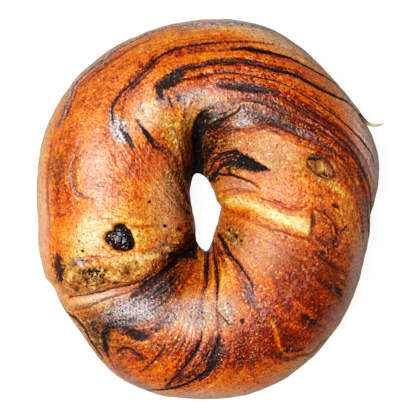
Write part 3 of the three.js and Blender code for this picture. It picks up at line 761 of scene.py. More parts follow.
def beside_line(places, normals, line, half_widths, reach):
    """The points within reach of a line: which they are, signed distance, and half width there."""
    near = np.flatnonzero(((places > line.min(0) - reach) & (places < line.max(0) + reach)).all(1))
    place, normal = places[near], normals[near]
    best, side, width = np.full(len(near), np.inf), np.zeros(len(near)), np.zeros(len(near))
    last = len(line) - 2
    for k, (start, end) in enumerate(zip(line, line[1:])):
        step = end - start
        length = np.linalg.norm(step)
        share = (place - start) @ step / length ** 2
        past_end = (k == 0) * np.maximum(-share, 0) + (k == last) * np.maximum(share - 1, 0)
        share = np.clip(share, 0, 1)
        away = place - start - share[:, None] * step
        distance = np.linalg.norm(away, axis=1)
        nearer = distance < best
        best = np.where(nearer, distance, best)
        side = np.where(nearer, np.sign((np.cross(step, away) * normal).sum(1)), side)
        here = half_widths[k] + share * (half_widths[k + 1] - half_widths[k]) - past_end * length
        width = np.where(nearer, here, width)
    kept = best < reach
    return near[kept], (best * np.where(side == 0, 1, side))[kept], width[kept]


def spread(values, count):
    return np.interp(np.linspace(0, 1, count), np.linspace(0, 1, len(values)), values)


def share_out(lines, reaches):
    """Puts the lines into groups in which no two come near each other."""
    groups = []
    for k, line in enumerate(lines):
        for group in groups:
            gaps = (
                np.linalg.norm(line[:, None] - lines[other][None], axis=2).min() - reaches[k] - reaches[other]
                for other in group
            )
            if all(gap > 0 for gap in gaps):
                group.append(k)
                break
        else:
            groups.append([k])
    return groups


def pooled(start, pools, places, shown):
    """A field that starts at some value and is drawn towards each pool's own, where it shows from above."""
    field = np.zeros(len(places)) + start
    for middle, half, turned, value in pools.values():
        c, s = math.cos(math.radians(turned)), math.sin(math.radians(turned))
        dx, dy = places[:, 0] - middle[0], places[:, 1] - middle[1]
        oval = np.hypot((dx * c + dy * s) / half[0], (dy * c - dx * s) / half[1])
        field += (value - field) * np.exp(-(oval ** 2.6) * 0.9) * shown
    return field


def noise_field(places, size, octaves=3, seed=0.0):
    """Fractal noise over places in millimetres, about -1 to 1, with features of a size."""
    scaled = places / size + seed
    return np.array([noise.fractal(Vector(p), 0.9, 2.1, octaves) for p in scaled])


def raisin_radius(heading):
    degrees, radii = np.array(RAISIN_OUTLINE).T
    return np.interp(np.degrees(heading), degrees, radii, period=360)


def flank_lines():
    """Lines that spiral over the outer flank and down to the base, each with its tone and half widths."""
    rng = random.Random(FLANK_SEED)
    found = []
    for k in range(FLANK_STREAKS):
        start = (k + rng.uniform(0.1, 0.9)) / FLANK_STREAKS
        span = rng.uniform(0.08, 0.2)
        top, bottom = rng.uniform(-12, 2), rng.uniform(-62, -34)
        share = np.linspace(0, 1, 60)
        wave = 3 * np.sin(share * rng.uniform(5, 9) + rng.uniform(0, 6))
        angle = np.radians(top + (bottom - top) * share ** 1.3 + wave)
        line = crust_points(start + span * share, angle)
        thick = rng.uniform(0.2, 0.5)
        found.append((rng.uniform(0.4, 0.8), (0.08, thick, 0.6 * thick, thick, 0.08), line))
    return found


def offset_route(route, away):
    """A route moved to the left of its way by a distance."""
    line = curve_through(route, 1.5)
    way = unit(np.gradient(line, axis=0))
    return line + away * np.stack([-way[:, 1], way[:, 0]], axis=1)


def fine_line_field(places, normals, tree):
    """How strongly each point shows the faint lines that follow the streaks, from 0 to 1."""
    rng = random.Random(FINE_LINE_SEED)
    field = np.zeros(len(places))
    for name, offsets in FINE_LINES.items():
        for away in offsets:
            route = offset_route(STREAKS[name].route, away + rng.uniform(-0.2, 0.2))
            first = int(rng.uniform(0, 0.2) * len(route))
            last = max(first + 3, int(rng.uniform(0.75, 1) * len(route)))
            line = onto_crust(tree, curve_through(route[first:last], 0.8))
            strength = (0, rng.uniform(0.5, 1), rng.uniform(0.3, 1), rng.uniform(0.4, 1), 0)
            strength = spread(strength, len(line))
            at, signed, here = beside_line(places, normals, line, strength, 3 * FINE_LINE_WIDTH)
            shade = np.clip(here, 0, 1) * np.exp(-((signed / FINE_LINE_WIDTH) ** 2))
            field[at] = np.maximum(field[at], shade)
    return field


def streak_fields(places, normals, tree):
    """For each group of streaks a field of signed distance, half width and tone; and the grooves' depth."""
    found = [
        (streak.tone, streak.half_widths, streak.depth, onto_crust(tree, curve_through(streak.route)))
        for streak in STREAKS.values()
    ]
    found += [(tone, half_widths, FLANK_GROOVE, line) for tone, half_widths, line in flank_lines()]
    lines = [line for *_, line in found]
    reaches = [max(half_widths) + REACH_MARGIN for _, half_widths, _, _ in found]
    groove = np.zeros(len(places))
    fields = []
    for group in share_out(lines, reaches):
        field = np.tile([FAR, -FAR, 0.0], (len(places), 1))
        for k in group:
            tone, half_widths, depth, line = found[k]
            widths = spread(half_widths, len(line))
            at, signed, width = beside_line(places, normals, line, widths, reaches[k])
            close = 1 - smooth(reaches[k] - 0.8, reaches[k], np.abs(signed))
            field[at] = np.stack([signed, width - FAR * (1 - close), np.full(len(at), tone)], axis=1)
            cut = depth * np.exp(-((signed / (np.maximum(width, 0) + 0.3)) ** 2)) * smooth(-0.3, 0.3, width)
            groove[at] = np.maximum(groove[at], cut)
        fields.append(field)
    return fields, groove


def line_field(places, normals, tree, lines, softness):
    """How strongly soft-edged lines show at each point, from 0 to 1."""
    field = np.zeros(len(places))
    for half_widths, route in lines:
        line = onto_crust(tree, curve_through(route))
        widths = spread(half_widths, len(line))
        at, signed, width = beside_line(places, normals, line, widths, max(half_widths) + softness)
        field[at] = np.maximum(field[at], smooth(-softness, softness, width - np.abs(signed)))
    return field


def upsampled(coarse, thinning):
    """A grid that closes on itself both ways, made finer by straight lines between its values."""
    for axis in (0, 1):
        size = coarse.shape[axis]
        at = np.arange(size * thinning) / thinning
        low = np.floor(at).astype(int)
        share = (at - low).reshape((-1, 1, 1) if axis == 0 else (1, -1, 1))
        coarse = np.take(coarse, low, axis) * (1 - share) + np.take(coarse, (low + 1) % size, axis) * share
    return coarse


def squares(ways):
    """Each way's products with itself, which are the same for the opposite way."""
    return (ways[:, :, None] * ways[:, None]).reshape(-1, 9)


def flow_tensors(points, along, tree):
    """How the dough runs at each point, as a mix of the ways of the streaks, folds and pleats about it."""
    routes = [streak.route for streak in STREAKS.values()] + [fold[-1] for fold in FOLDS] + PLEATS
    lines = [onto_crust(tree, curve_through(route, 1.5)) for route in routes]
    ways = unit(np.concatenate([np.gradient(line, axis=0) for line in lines]))
    sources = np.concatenate(lines)
    thin = (slice(None, None, FLOW_THINNING),) * 2
    coarse = points[thin].reshape(-1, 3)
    squared = (coarse ** 2).sum(1)[:, None] + (sources ** 2).sum(1) - 2 * coarse @ sources.T
    pull = (np.maximum(squared, 0) + 0.8) ** -1.5
    tensors = pull @ squares(ways) + RING_PULL * squares(unit(along[thin].reshape(-1, 3)))
    tensors /= np.trace(tensors.reshape(-1, 3, 3), axis1=1, axis2=2)[:, None]
    tensors = upsampled(tensors.reshape(*points[thin].shape[:2], 9), FLOW_THINNING)
    return tensors.reshape(*points.shape[:2], 3, 3)


def flow_steps(points, normals, tree):
    """Grid steps that go FLOW_STEP millimetres along the flow, which the streaks and pleats lead."""
    along = (np.roll(points, -1, axis=0) - np.roll(points, 1, axis=0)) / 2
    across = (np.roll(points, -1, axis=1) - np.roll(points, 1, axis=1)) / 2
    tensors = flow_tensors(points, along, tree)
    length = np.maximum(np.linalg.norm(along, axis=-1), 1e-6)
    first = along / length[..., None]
    second = np.cross(normals, first)
    one, two, both = (
        np.einsum("uvi,uvij,uvj->uv", a, tensors, b)
        for a, b in ((first, first), (second, second), (first, second))
    )
    angle = 0.5 * np.arctan2(2 * both, one - two)
    rise = (across * second).sum(-1)
    rise = np.where(np.abs(rise) < 0.05, 0.05, rise)
    row_steps = np.sin(angle) / rise
    column_steps = (np.cos(angle) - row_steps * (across * first).sum(-1)) / length
    return np.clip(FLOW_STEP * column_steps, -2, 2), np.clip(FLOW_STEP * row_steps, -2, 2)


def drawn_out(values, steps, count):
    """A field smeared along the flow, so that it shows as strands, with a mean of 0 and a spread of 1."""
    columns, rows = values.shape
    column_steps, row_steps = steps
    total = values.copy()
    for way in (1, -1):
        column, row = (index.astype(float) for index in np.indices(values.shape))
        last_column, last_row = way * column_steps, way * row_steps
        for _ in range(count):
            at = np.rint(column).astype(int) % columns, np.rint(row).astype(int) % rows
            next_column, next_row = column_steps[at], row_steps[at]
            turned = np.where(next_column * last_column + next_row * last_row < 0, -1, 1)
            last_column, last_row = next_column * turned, next_row * turned
            column += last_column
            row += last_row
            total += values[np.rint(column).astype(int) % columns, np.rint(row).astype(int) % rows]
    return (total - total.mean()) / total.std()


def near_streaks(places, tree):
    """How near each point is to a streak: 1 on it, and fading over some millimetres."""
    lines = [onto_crust(tree, curve_through(streak.route, 1)) for streak in STREAKS.values()]
    points = np.concatenate(lines)
    known = KDTree(len(points))
    for k, point in enumerate(points):
        known.insert(point, k)
    known.balance()
    return np.exp(-np.array([known.find(place)[2] for place in places]) / STREAK_FADE)


def raisin_pocket(places):
    """How far the crust is sunk round the raisin, and the low lip about it."""
    away = places[:, :2] - RAISIN_MIDDLE
    share = np.linalg.norm(away, axis=1) / raisin_radius(np.arctan2(away[:, 1], away[:, 0]))
    sunk = POCKET_DEPTH * (1 - smooth(*POCKET_WALL, share))
    lip = LIP_HEIGHT * np.exp(-(((share - LIP_PLACE) / LIP_WIDTH) ** 2))
    return (sunk - lip) * smooth(*POCKET_LEVELS, places[:, 2])


def set_field(mesh, name, values):
    if values.ndim == 1:
        mesh.attributes.new(name, "FLOAT", "POINT").data.foreach_set("value", values.astype(np.float32))
    else:
        data = mesh.attributes.new(name, "FLOAT_VECTOR", "POINT").data
        data.foreach_set("vector", values.astype(np.float32).ravel())


def grid_map(mesh, columns, rows):
    """A map of the whole surface in which each face keeps its own column and row."""
    column, row = np.divmod(np.arange(columns * rows), rows)
    corners = [(column, row), (column + 1, row), (column + 1, row + 1), (column, row + 1)]
    places = np.stack([np.stack([c / columns, r / rows], axis=1) for c, r in corners], axis=1)
    mesh.uv_layers.new(name="OFBake").data.foreach_set("uv", places.astype(np.float32).ravel())


def new_object(name, data):
    found = bpy.data.objects.new(name, data)
    bpy.context.scene.collection.objects.link(found)
    return found


def add_object(name, mesh, material):
    piece = new_object(name, mesh)
    mesh.materials.append(material)
    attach(piece, "root")
    return piece


def smooth_mesh(name, places, faces):
    mesh = bpy.data.meshes.new(name)
    mesh.from_pydata((places * MM).tolist(), [], faces)
    mesh.shade_smooth()
    return mesh


def bake_field(places, normals, tree, shown, flank, wall, base):
    """How far the crust is baked, before its marbling."""
    bake = CROWN_BAKE + 0.12 * noise_field(places, 16, 2)
    for level, area in ((FLANK_BAKE, flank), (FLANK_BAKE, wall), (BASE_BAKE, base)):
        bake += (level - bake) * area
    bake = pooled(bake, BAKE_POOLS, places, shown)
    return bake * (1 - 0.78 * line_field(places, normals, tree, PALE_LINES, 0.9))


def soot_and_shade_field(places, up, bands):
    soot = pooled(0, SOOT_AND_SHADE_POOLS, places, smooth(-0.2, 0.2, up)) + 0.06 * bands
    for (x, y), radius in DOTS:
        away = np.hypot(places[:, 0] - x, places[:, 1] - y)
        soot = np.maximum(soot, smooth(radius + 0.4, radius - 0.2, away) * (up > 0))
    return soot


def fine_relief(places, torn, marbling, strands, groove):
    """How far the crust stands out from its folded form, from torn crumb, strands and grooves."""
    relief = 0.3 * noise_field(places, 9) + 0.1 * noise_field(places, 3, seed=7.3)
    relief += torn * (0.4 * noise_field(places, 2.4, seed=3.1) + 0.1)
    relief -= 0.07 * marbling * strands
    return (relief - groove) * smooth(0, 3, places[:, 2])


def crust_mesh(shift):
    """The finished crust with its material's fields, how many groups of streaks it has, and a search tree."""
    points, angles = crust_grid()
    columns, rows = angles.shape
    quads = grid_faces(columns, rows).tolist()
    places, normals = points.reshape(-1, 3), grid_normals(points).reshape(-1, 3)
    tree = BVHTree.FromPolygons(places.tolist(), quads)
    up, outward = np.sin(angles.ravel()), np.cos(angles.ravel())
    shown = smooth(0.06, 0.4, up)
    flank = (1 - smooth(0.1, 0.6, up)) * smooth(-0.1, 0.3, outward)
    wall = (1 - smooth(0, 0.5, up)) * smooth(0.1, -0.3, outward)
    base = 1 - smooth(0, 2.5, places[:, 2])

    steps = flow_steps(points, normals.reshape(points.shape), tree)
    white = np.random.default_rng(FLOW_SEED).standard_normal((columns, rows))
    broad = noise_field(places, 2.6, 2, 4.7).reshape(columns, rows)
    strands, bands = (drawn_out(values, steps, FLOW_STEPS).ravel() for values in (white, broad))
    marbling = 0.25 + 0.75 * near_streaks(places, tree)
    bake = bake_field(places, normals, tree, shown, flank, wall, base)
    ash_lines = line_field(places, normals, tree, ASH_LINES, 0.7)
    torn = pooled(0, TORN_POOLS, places, shown)
    groups, groove = streak_fields(places, normals, tree)
    fields = {
        "bake": bake + marbling * (0.07 * bands + 0.05 * strands),
        # ash with painted sheen, and painted reflection on the rims
        "ash": np.maximum(pooled(0, ASH_AND_SHEEN_POOLS, places, shown), 0.8 * ash_lines),
        "soot": soot_and_shade_field(places, up, bands),
        "torn": torn,
        "fine": fine_line_field(places, normals, tree),
        "flow": strands,
        "wrinkled": pooled(WRINKLED_ELSEWHERE, WRINKLED_POOLS, places, shown),
        # toast and painted shade; the whole inner wall of the hole gets half strength of painted shade
        "toast": pooled(0, TOAST_AND_SHADE_POOLS, places, shown) + 0.5 * wall,
        # painted sheen on the crests and painted reflection on the rims
        "bloom": pooled(0, PAINTED_SHEEN_POOLS, places, shown),
        "flank": flank,
        "base": base,
        **{f"streak_{k}": field for k, field in enumerate(groups)},
    }
    finished = places + normals * fine_relief(places, torn, marbling, strands, groove)[:, None]
    finished[:, 2] = np.maximum(finished[:, 2] - raisin_pocket(places), 0)

    mesh = smooth_mesh("crust", finished + shift, quads)
    grid_map(mesh, columns, rows)
    for name, values in fields.items():
        set_field(mesh, name, values)
    return mesh, len(groups), tree


def colour(red, green, blue):
    """A surface's true colour, from how the photograph shows it in full light, from 0 to 255."""
    linear = [c / 3294.6 if c <= 10.31 else ((c / 255 + 0.055) / 1.055) ** 2.4 for c in (red, green, blue)]
    return (*(OVEREXPOSURE * c for c in linear), 1)


class Nodes:
    """A material that is built node by node. An input is a number, a colour or another node's output."""

    def __init__(self, name):
        self.material = bpy.data.materials.new(name)
        self.material.use_nodes = True
        self.tree = self.material.node_tree
        self.tree.nodes.clear()
        self.shader = self.add("ShaderNodeBsdfPrincipled")
        output = self.add("ShaderNodeOutputMaterial")
        self.tree.links.new(self.shader.outputs[0], output.inputs["Surface"])
        place = self.add("ShaderNodeTexCoord").outputs["Object"]
        inputs = {0: place, "Scale": 1 / MM}
        self.place = self.add("ShaderNodeVectorMath", inputs, operation="SCALE").outputs[0]

    def add(self, kind, inputs=None, **settings):
        node = self.tree.nodes.new(kind)
        for key, value in settings.items():
            setattr(node, key, value)
        for key, value in (inputs or {}).items():
            self.put(node.inputs[key], value)
        return node

    def put(self, socket, value):
        if isinstance(value, bpy.types.NodeSocket):
            self.tree.links.new(value, socket)
        else:
            socket.default_value = value

    def math(self, operation, a, b=0.0, clamp=False):
        return self.add("ShaderNodeMath", {0: a, 1: b}, operation=operation, use_clamp=clamp).outputs[0]

    def total(self, *terms):
        result = terms[0]
        for term in terms[1:]:
            result = self.math("ADD", result, term)
        return result

    def times(self, a, b, clamp=False):
        return self.math("MULTIPLY", a, b, clamp)

    def remap(self, value, low, high, to_low=0.0, to_high=1.0):
        inputs = {0: value, 1: low, 2: high, 3: to_low, 4: to_high}
        return self.add("ShaderNodeMapRange", inputs, interpolation_type="SMOOTHSTEP").outputs[0]

    def moved(self, offset):
        if not offset:
            return self.place
        return self.add("ShaderNodeVectorMath", {0: self.place, 1: (offset,) * 3}, operation="ADD").outputs[0]

    def noise(self, size, detail=3.0, roughness=0.55, offset=0):
        """Noise from 0 to 1 with features of a size in millimetres."""
        inputs = {"Vector": self.moved(offset), "Scale": 1 / size, "Detail": detail, "Roughness": roughness}
        return self.add("ShaderNodeTexNoise", inputs).outputs[0]

    def specks(self, size, largest, offset=0):
        """Scattered specks, about one in each cell of a size. The largest radius is a share of that size."""
        cells = self.add("ShaderNodeTexVoronoi", {"Vector": self.moved(offset), "Scale": 1 / size})
        chance = self.add("ShaderNodeSeparateXYZ", {0: cells.outputs["Color"]}).outputs[0]
        radius = self.times(self.times(chance, chance), largest)
        return self.remap(self.math("SUBTRACT", radius, cells.outputs["Distance"]), 0, 0.1)

    def field(self, name):
        return self.add("ShaderNodeAttribute", attribute_name=name).outputs["Fac"]

    def vector_field(self, name):
        vector = self.add("ShaderNodeAttribute", attribute_name=name).outputs["Vector"]
        return self.add("ShaderNodeSeparateXYZ", {0: vector}).outputs

    def mix(self, share, a, b):
        return self.add("ShaderNodeMix", {0: share, 6: a, 7: b}, data_type="RGBA").outputs[2]

    def ramp(self, value, stops):
        node = self.add("ShaderNodeValToRGB", {0: value})
        elements = node.color_ramp.elements
        while len(elements) < len(stops):
            elements.new(0.5)
        for element, (position, shade) in zip(elements, sorted(stops.items())):
            element.position = position
            element.color = shade
        return node.outputs[0]

    def bump(self, height, depth):
        inputs = {"Height": height, "Strength": 1.0, "Distance": depth * MM}
        self.put(self.shader.inputs["Normal"], self.add("ShaderNodeBump", inputs).outputs[0])

    def finish(self, base, roughness, specular=0.5):
        self.put(self.shader.inputs["Base Color"], base)
        self.put(self.shader.inputs["Roughness"], roughness)
        self.put(self.shader.inputs["Specular IOR Level"], specular)
        return self.material


# The crust's own colours, from pale dough to the darkest bake
BAKE_COLOURS = {
    0.0: colour(255, 216, 142),
    0.2: colour(250, 176, 62),
    0.4: colour(246, 138, 8),
    0.6: colour(236, 106, 1),
    0.8: colour(152, 44, 0),
    1.0: colour(58, 14, 2),
}
PIT_COLOURS = {0.0: colour(196, 128, 56), 0.4: colour(150, 66, 10), 1.0: colour(30, 8, 2)}
# Painted glints on the grain
GLINT_COLOURS = {0.0: colour(255, 232, 170), 0.5: colour(255, 172, 34), 1.0: colour(214, 106, 24)}
STREAK_COLOURS = {0.0: colour(150, 56, 10), 0.5: colour(74, 25, 10), 1.0: colour(14, 7, 8)}
TORN_COLOURS = {
    0.0: colour(30, 12, 6),
    0.22: colour(104, 50, 16),
    0.5: colour(196, 118, 44),
    0.8: colour(230, 158, 74),
    1.0: colour(240, 184, 106),
}
# Dark ash at the low end, and painted sheen over it that rises to white at the high end
ASH_AND_SHEEN_COLOURS = {
    0.0: colour(26, 18, 20),
    0.35: colour(104, 84, 84),
    0.65: colour(176, 162, 162),
    1.0: colour(236, 232, 234),
}
# The colour of the painted sheen and painted reflection
PAINTED_SHEEN_COLOUR = colour(250, 214, 206)
# The black of burnt cinnamon and of painted shade
SOOT_AND_SHADE_COLOUR = colour(14, 7, 7)
FLANK_COLOUR = colour(232, 182, 130)
# Toasted brown, which is also painted shade near the hole, the crease and the lap
TOAST_AND_SHADE_COLOUR = colour(104, 62, 30)
# Pale specks of crumb, partly painted glints
PALE_SPECK_AND_GLINT = colour(255, 206, 110)
DARK_SPECK = colour(54, 18, 6)
RAISIN_COLOURS = {0.0: colour(8, 4, 5), 0.65: colour(26, 11, 11), 1.0: colour(84, 34, 20)}
THREAD_COLOURS = {0.0: colour(66, 30, 18), 0.5: colour(160, 110, 60), 1.0: colour(206, 180, 124)}
THREAD_MOTTLE = colour(120, 80, 40)

# The fields of the crust's points that its material reads, apart from the streaks
CRUST_FIELDS = ("bake", "ash", "torn", "soot", "fine", "flow", "flank", "base", "wrinkled", "toast", "bloom")

# The stage: half the floor's size in metres, and the glow of floor and room for the bagel and the camera
FLOOR_HALF = 1.5
FLOOR_COLOUR = colour(140, 140, 142)
FLOOR_GLOW = (0.35, 0.92)
ROOM_GLOW = (0.05, 1)
FLOOR_DROP = 1e-5

# The only lamp, in metres
SOFTBOX_PLACE = (-0.42, 0.0, 1.15)
SOFTBOX_AIM = (0, 0, 0.02)
SOFTBOX_SIZE = 0.78
SOFTBOX_RADIANCE = 15

# The camera looks straight down. At the waist's level it sees the photograph's width.
VIEW_WIDTH = 131.25
VIEW_MIDDLE = (0.47, 0)
CAMERA_DISTANCE = 900
SENSOR = 36

# Tones of the scene and of the picture, from 0, black, to 1, white
CONTRAST_CURVE = [(0.035, 0.014), (0.12, 0.095), (0.5, 0.56)]


def streak_masks(nodes, groups, flow):
    """How much of a streak shows, its tone, and the rusty halo round it."""
    ragged = nodes.remap(nodes.noise(0.5, 2, 0.65), 0.25, 0.75, -0.3, 0.3)
    shown, tone, halo = 0.0, 0.0, 0.0
    for k in range(groups):
        signed, half_width, own_tone = nodes.vector_field(f"streak_{k}")
        edge = nodes.math("SUBTRACT", half_width, nodes.math("ABSOLUTE", signed))
        soft = nodes.remap(own_tone, 0.3, 1, 0.7, 0.14)
        worn = nodes.times(ragged, nodes.remap(half_width, 0.3, 1.6, 0.8, 2.6))
        worn = nodes.math("ADD", worn, nodes.times(flow, nodes.remap(half_width, 0.3, 1.4, 0.08, 0.45)))
        soft = nodes.times(soft, nodes.remap(half_width, 0.6, 2.2, 1, 4))
        mask = nodes.remap(nodes.math("ADD", edge, worn), nodes.times(soft, -1), soft)
        mask = nodes.times(mask, nodes.remap(own_tone, 0.2, 0.9, 0.45, 1))
        shown = nodes.math("MAXIMUM", shown, mask)
        tone = nodes.math("MAXIMUM", tone, nodes.times(mask, own_tone))
        halo = nodes.math("MAXIMUM", halo, nodes.times(nodes.remap(edge, -1.2, 0.1), own_tone))
    return shown, tone, halo


def crust_masks(nodes, groups):
    """What the crust's colour, height and roughness share: its fields, its streaks and its fine noises."""
    masks = SimpleNamespace(**{name: nodes.field(name) for name in CRUST_FIELDS})
    masks.shown, masks.tone, masks.halo = streak_masks(nodes, groups, masks.flow)
    masks.grain = nodes.remap(nodes.noise(0.7, 2, 0.7), 0.3, 0.7, -1, 1)
    masks.pits = nodes.remap(nodes.noise(0.75, 2, 0.6, 13), 0.54, 0.64)
    wrinkles = nodes.remap(nodes.noise(1.5, 4, 0.65, 23), 0.35, 0.65, -1, 1)
    masks.wrinkles = nodes.times(wrinkles, masks.wrinkled)
    masks.clusters = nodes.remap(nodes.noise(3, 3, 0.6, 50), 0.4, 0.6)
    masks.pale_specks = nodes.times(nodes.specks(0.85, 0.4), masks.clusters)
    masks.crumb = nodes.remap(nodes.noise(2.6, 6, 0.72), 0.28, 0.6)
    patchy = nodes.remap(nodes.noise(2, 4), 0.3, 0.7, -0.4, 0.4)
    masks.rough = nodes.remap(nodes.total(masks.torn, patchy), 0.2, 0.85)
    # Burnt cinnamon, and painted shade in the crease, on the hole's walls and in the lap
    soot_and_shade_level = nodes.total(masks.soot, nodes.times(masks.flow, 0.15), nodes.times(masks.grain, 0.3))
    masks.burnt = nodes.remap(soot_and_shade_level, 0.38, 0.85)
    return masks


def baked_colour(nodes, masks):
    """The crust's colour, with its toasted places and painted shade, pits, and painted glints."""
    patches = nodes.remap(nodes.noise(5, 3), 0.3, 0.7, -0.08, 0.08)
    mottle = nodes.remap(nodes.noise(1.3, 4, 0.6), 0.25, 0.75, -0.12, 0.12)
    variation = nodes.total(patches, mottle, nodes.times(masks.wrinkles, 0.2), nodes.times(masks.grain, 0.14))
    variation = nodes.times(variation, nodes.remap(masks.bake, 0.6, 0.85, 1, 0.45))
    level = nodes.total(masks.bake, variation, nodes.times(masks.halo, 0.2), nodes.times(masks.fine, 0.3))
    crust = nodes.ramp(level, BAKE_COLOURS)
    crust = nodes.mix(nodes.times(masks.flank, 0.65), crust, FLANK_COLOUR)
    uneven = nodes.total(nodes.times(masks.flow, 0.3), nodes.times(masks.grain, 0.35))
    # Toast and painted shade, uneven along the strands and the grain
    toasted_and_shaded = nodes.total(masks.toast, nodes.times(masks.toast, uneven))
    crust = nodes.mix(nodes.remap(toasted_and_shaded, 0.05, 1.1), crust, TOAST_AND_SHADE_COLOUR)
    pitted = nodes.times(masks.pits, nodes.remap(masks.bake, 0.35, 0.6, 0.75, 0.2))
    crust = nodes.mix(pitted, crust, nodes.ramp(level, PIT_COLOURS))
    # Painted glints
    glints = nodes.remap(nodes.noise(0.65, 2, 0.6, 71), 0.56, 0.66)
    glints = nodes.times(glints, nodes.total(0.4, masks.clusters))
    return nodes.mix(nodes.times(glints, 0.75), crust, nodes.ramp(level, GLINT_COLOURS))


def crust_colour(nodes, masks):
    """The baked colour under its painted sheen, ash with painted sheen, torn crumb, soot with painted shade,
    streaks, and specks that are partly painted glints.
    """
    grain, flow = masks.grain, masks.flow
    # The painted sheen, broken up by the grain and the strands
    sheen_grain = nodes.total(0.8, nodes.times(grain, 0.5), nodes.times(flow, 0.15))
    crust = nodes.mix(nodes.times(masks.bloom, sheen_grain, True), baked_colour(nodes, masks), PAINTED_SHEEN_COLOUR)
    # The ash film, lit grey to white by painted sheen
    ash_and_sheen_film = nodes.remap(nodes.total(masks.ash, nodes.times(grain, 0.12), nodes.times(flow, 0.12)), 0.12, 0.85)
    ash_and_sheen_level = nodes.total(
        0.22,
        nodes.times(masks.ash, 0.5),
        nodes.times(grain, 0.32),
        nodes.times(flow, 0.14),
        nodes.times(masks.pits, -0.4),
    )
    crust = nodes.mix(nodes.times(ash_and_sheen_film, 0.9), crust, nodes.ramp(ash_and_sheen_level, ASH_AND_SHEEN_COLOURS))
    crust = nodes.mix(masks.rough, crust, nodes.ramp(masks.crumb, TORN_COLOURS))
    crust = nodes.mix(masks.burnt, crust, SOOT_AND_SHADE_COLOUR)
    crust = nodes.mix(masks.shown, crust, nodes.ramp(masks.tone, STREAK_COLOURS))
    crust = nodes.mix(nodes.times(nodes.specks(1.0, 0.4, 31), 0.75), crust, DARK_SPECK)
    return nodes.mix(nodes.times(masks.pale_specks, 0.5), crust, PALE_SPECK_AND_GLINT)


def crust_height(nodes, masks):
    return nodes.total(
        nodes.times(nodes.noise(0.8, 2, 0.5, 90), 1.1),
        nodes.times(nodes.noise(1.9, 2, 0.5, 90), 0.8),
        nodes.times(masks.pale_specks, 0.4),
        nodes.times(masks.pits, -0.3),
        nodes.times(nodes.times(masks.crumb, masks.rough), 4),
        nodes.times(masks.wrinkles, 2.5),
        nodes.times(masks.fine, -0.8),
        nodes.times(masks.flow, -0.12),
        nodes.times(masks.shown, -0.8),
    )


def crust_material(groups):
    nodes = Nodes("baked crust")
    masks = crust_masks(nodes, groups)
    roughness = nodes.total(
        nodes.remap(nodes.noise(2.2, 3), 0.3, 0.7, 0.18, 0.28),
        nodes.times(masks.rough, 0.3),
        nodes.times(masks.burnt, 0.3),
        nodes.times(masks.shown, 0.3),
        nodes.times(masks.flank, 0.15),
        nodes.times(masks.base, 0.3),
    )
    nodes.bump(crust_height(nodes, masks), 0.16)
    return nodes.finish(crust_colour(nodes, masks), roughness, 0.6)


def raisin_material():
    nodes = Nodes("raisin skin")
    shade = nodes.ramp(nodes.remap(nodes.noise(1.1, 4), 0.3, 0.7), RAISIN_COLOURS)
    nodes.bump(nodes.noise(0.8, 3, 0.6), 0.35)
    return nodes.finish(shade, nodes.remap(nodes.noise(0.7, 3), 0.3, 0.7, 0.12, 0.34), 0.9)


def thread_material():
    nodes = Nodes("dried dough")
    along = nodes.add("ShaderNodeSeparateXYZ", {0: nodes.place}).outputs[0]
    shade = nodes.ramp(nodes.remap(along, *THREAD_FADE), THREAD_COLOURS)
    return nodes.finish(nodes.mix(nodes.times(nodes.noise(0.5), 0.4), shade, THREAD_MOTTLE), 0.6)


def raisin_mesh(middle):
    """A wrinkled raisin: rounded folds with sharp valleys between them."""
    ball = bmesh.new()
    bmesh.ops.create_icosphere(ball, subdivisions=6, radius=1)
    way = np.array([v.co for v in ball.verts])
    faces = [[v.index for v in f.verts] for f in ball.faces]
    ball.free()
    low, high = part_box("raisin")
    half_height = (high.z - low.z) / 2 / MM
    radius = raisin_radius(np.arctan2(way[:, 1], way[:, 0]))
    body = way * np.column_stack([radius, radius, np.full(len(way), half_height)])
    folds = 1.1 - 2.4 * np.abs(noise_field(body, 2.8, 2)) - 1.2 * np.abs(noise_field(body, 1.2, 2, 9.0))
    rim = np.hypot(way[:, 0], way[:, 1])
    grown = 1 + RAISIN_FOLDS * folds * (0.5 + 0.5 * rim)
    return smooth_mesh("raisin", body * grown[:, None] + middle, faces)


def thread_mesh(tree, shift):
    """A tapered, slightly flattened thread along its route, level with the crust where it starts."""
    plan = curve_through(THREAD_ROUTE, 0.3)
    start = onto_crust(tree, plan[:1])[0]
    share = np.linspace(0, 1, len(plan))
    line = np.column_stack([plan, start[2] - THREAD_ROOT_DEPTH + THREAD_RISE * share ** 1.5])
    way = unit(np.gradient(line, axis=0))
    side = unit(np.cross(way, [0, 0, 1]))
    over = np.cross(side, way)
    radius = np.interp(share, THREAD_SHARES, THREAD_HALF_WIDTHS)
    sides = THREAD_SIDES
    turn = np.arange(sides) * 2 * np.pi / sides
    ring = side[:, None] * np.cos(turn)[:, None] + THREAD_FLATNESS * over[:, None] * np.sin(turn)[:, None]
    places = (line[:, None] + ring * radius[:, None, None]).reshape(-1, 3)
    rings = len(line)
    faces = [
        [k * sides + s, k * sides + (s + 1) % sides, (k + 1) * sides + (s + 1) % sides, (k + 1) * sides + s]
        for k in range(rings - 1) for s in range(sides)
    ]
    faces += [list(range(sides))[::-1], [(rings - 1) * sides + s for s in range(sides)]]
    return smooth_mesh("dried_thread", places + shift, faces)


def camera_glow(tree, dim, bright):
    """A glow that the camera sees at its full strength and the bagel dimly."""
    seen = tree.nodes.new("ShaderNodeLightPath").outputs["Is Camera Ray"]
    glow = tree.nodes.new("ShaderNodeMapRange")
    glow.inputs["To Min"].default_value = dim
    glow.inputs["To Max"].default_value = bright
    tree.links.new(seen, glow.inputs["Value"])
    return glow.outputs[0]


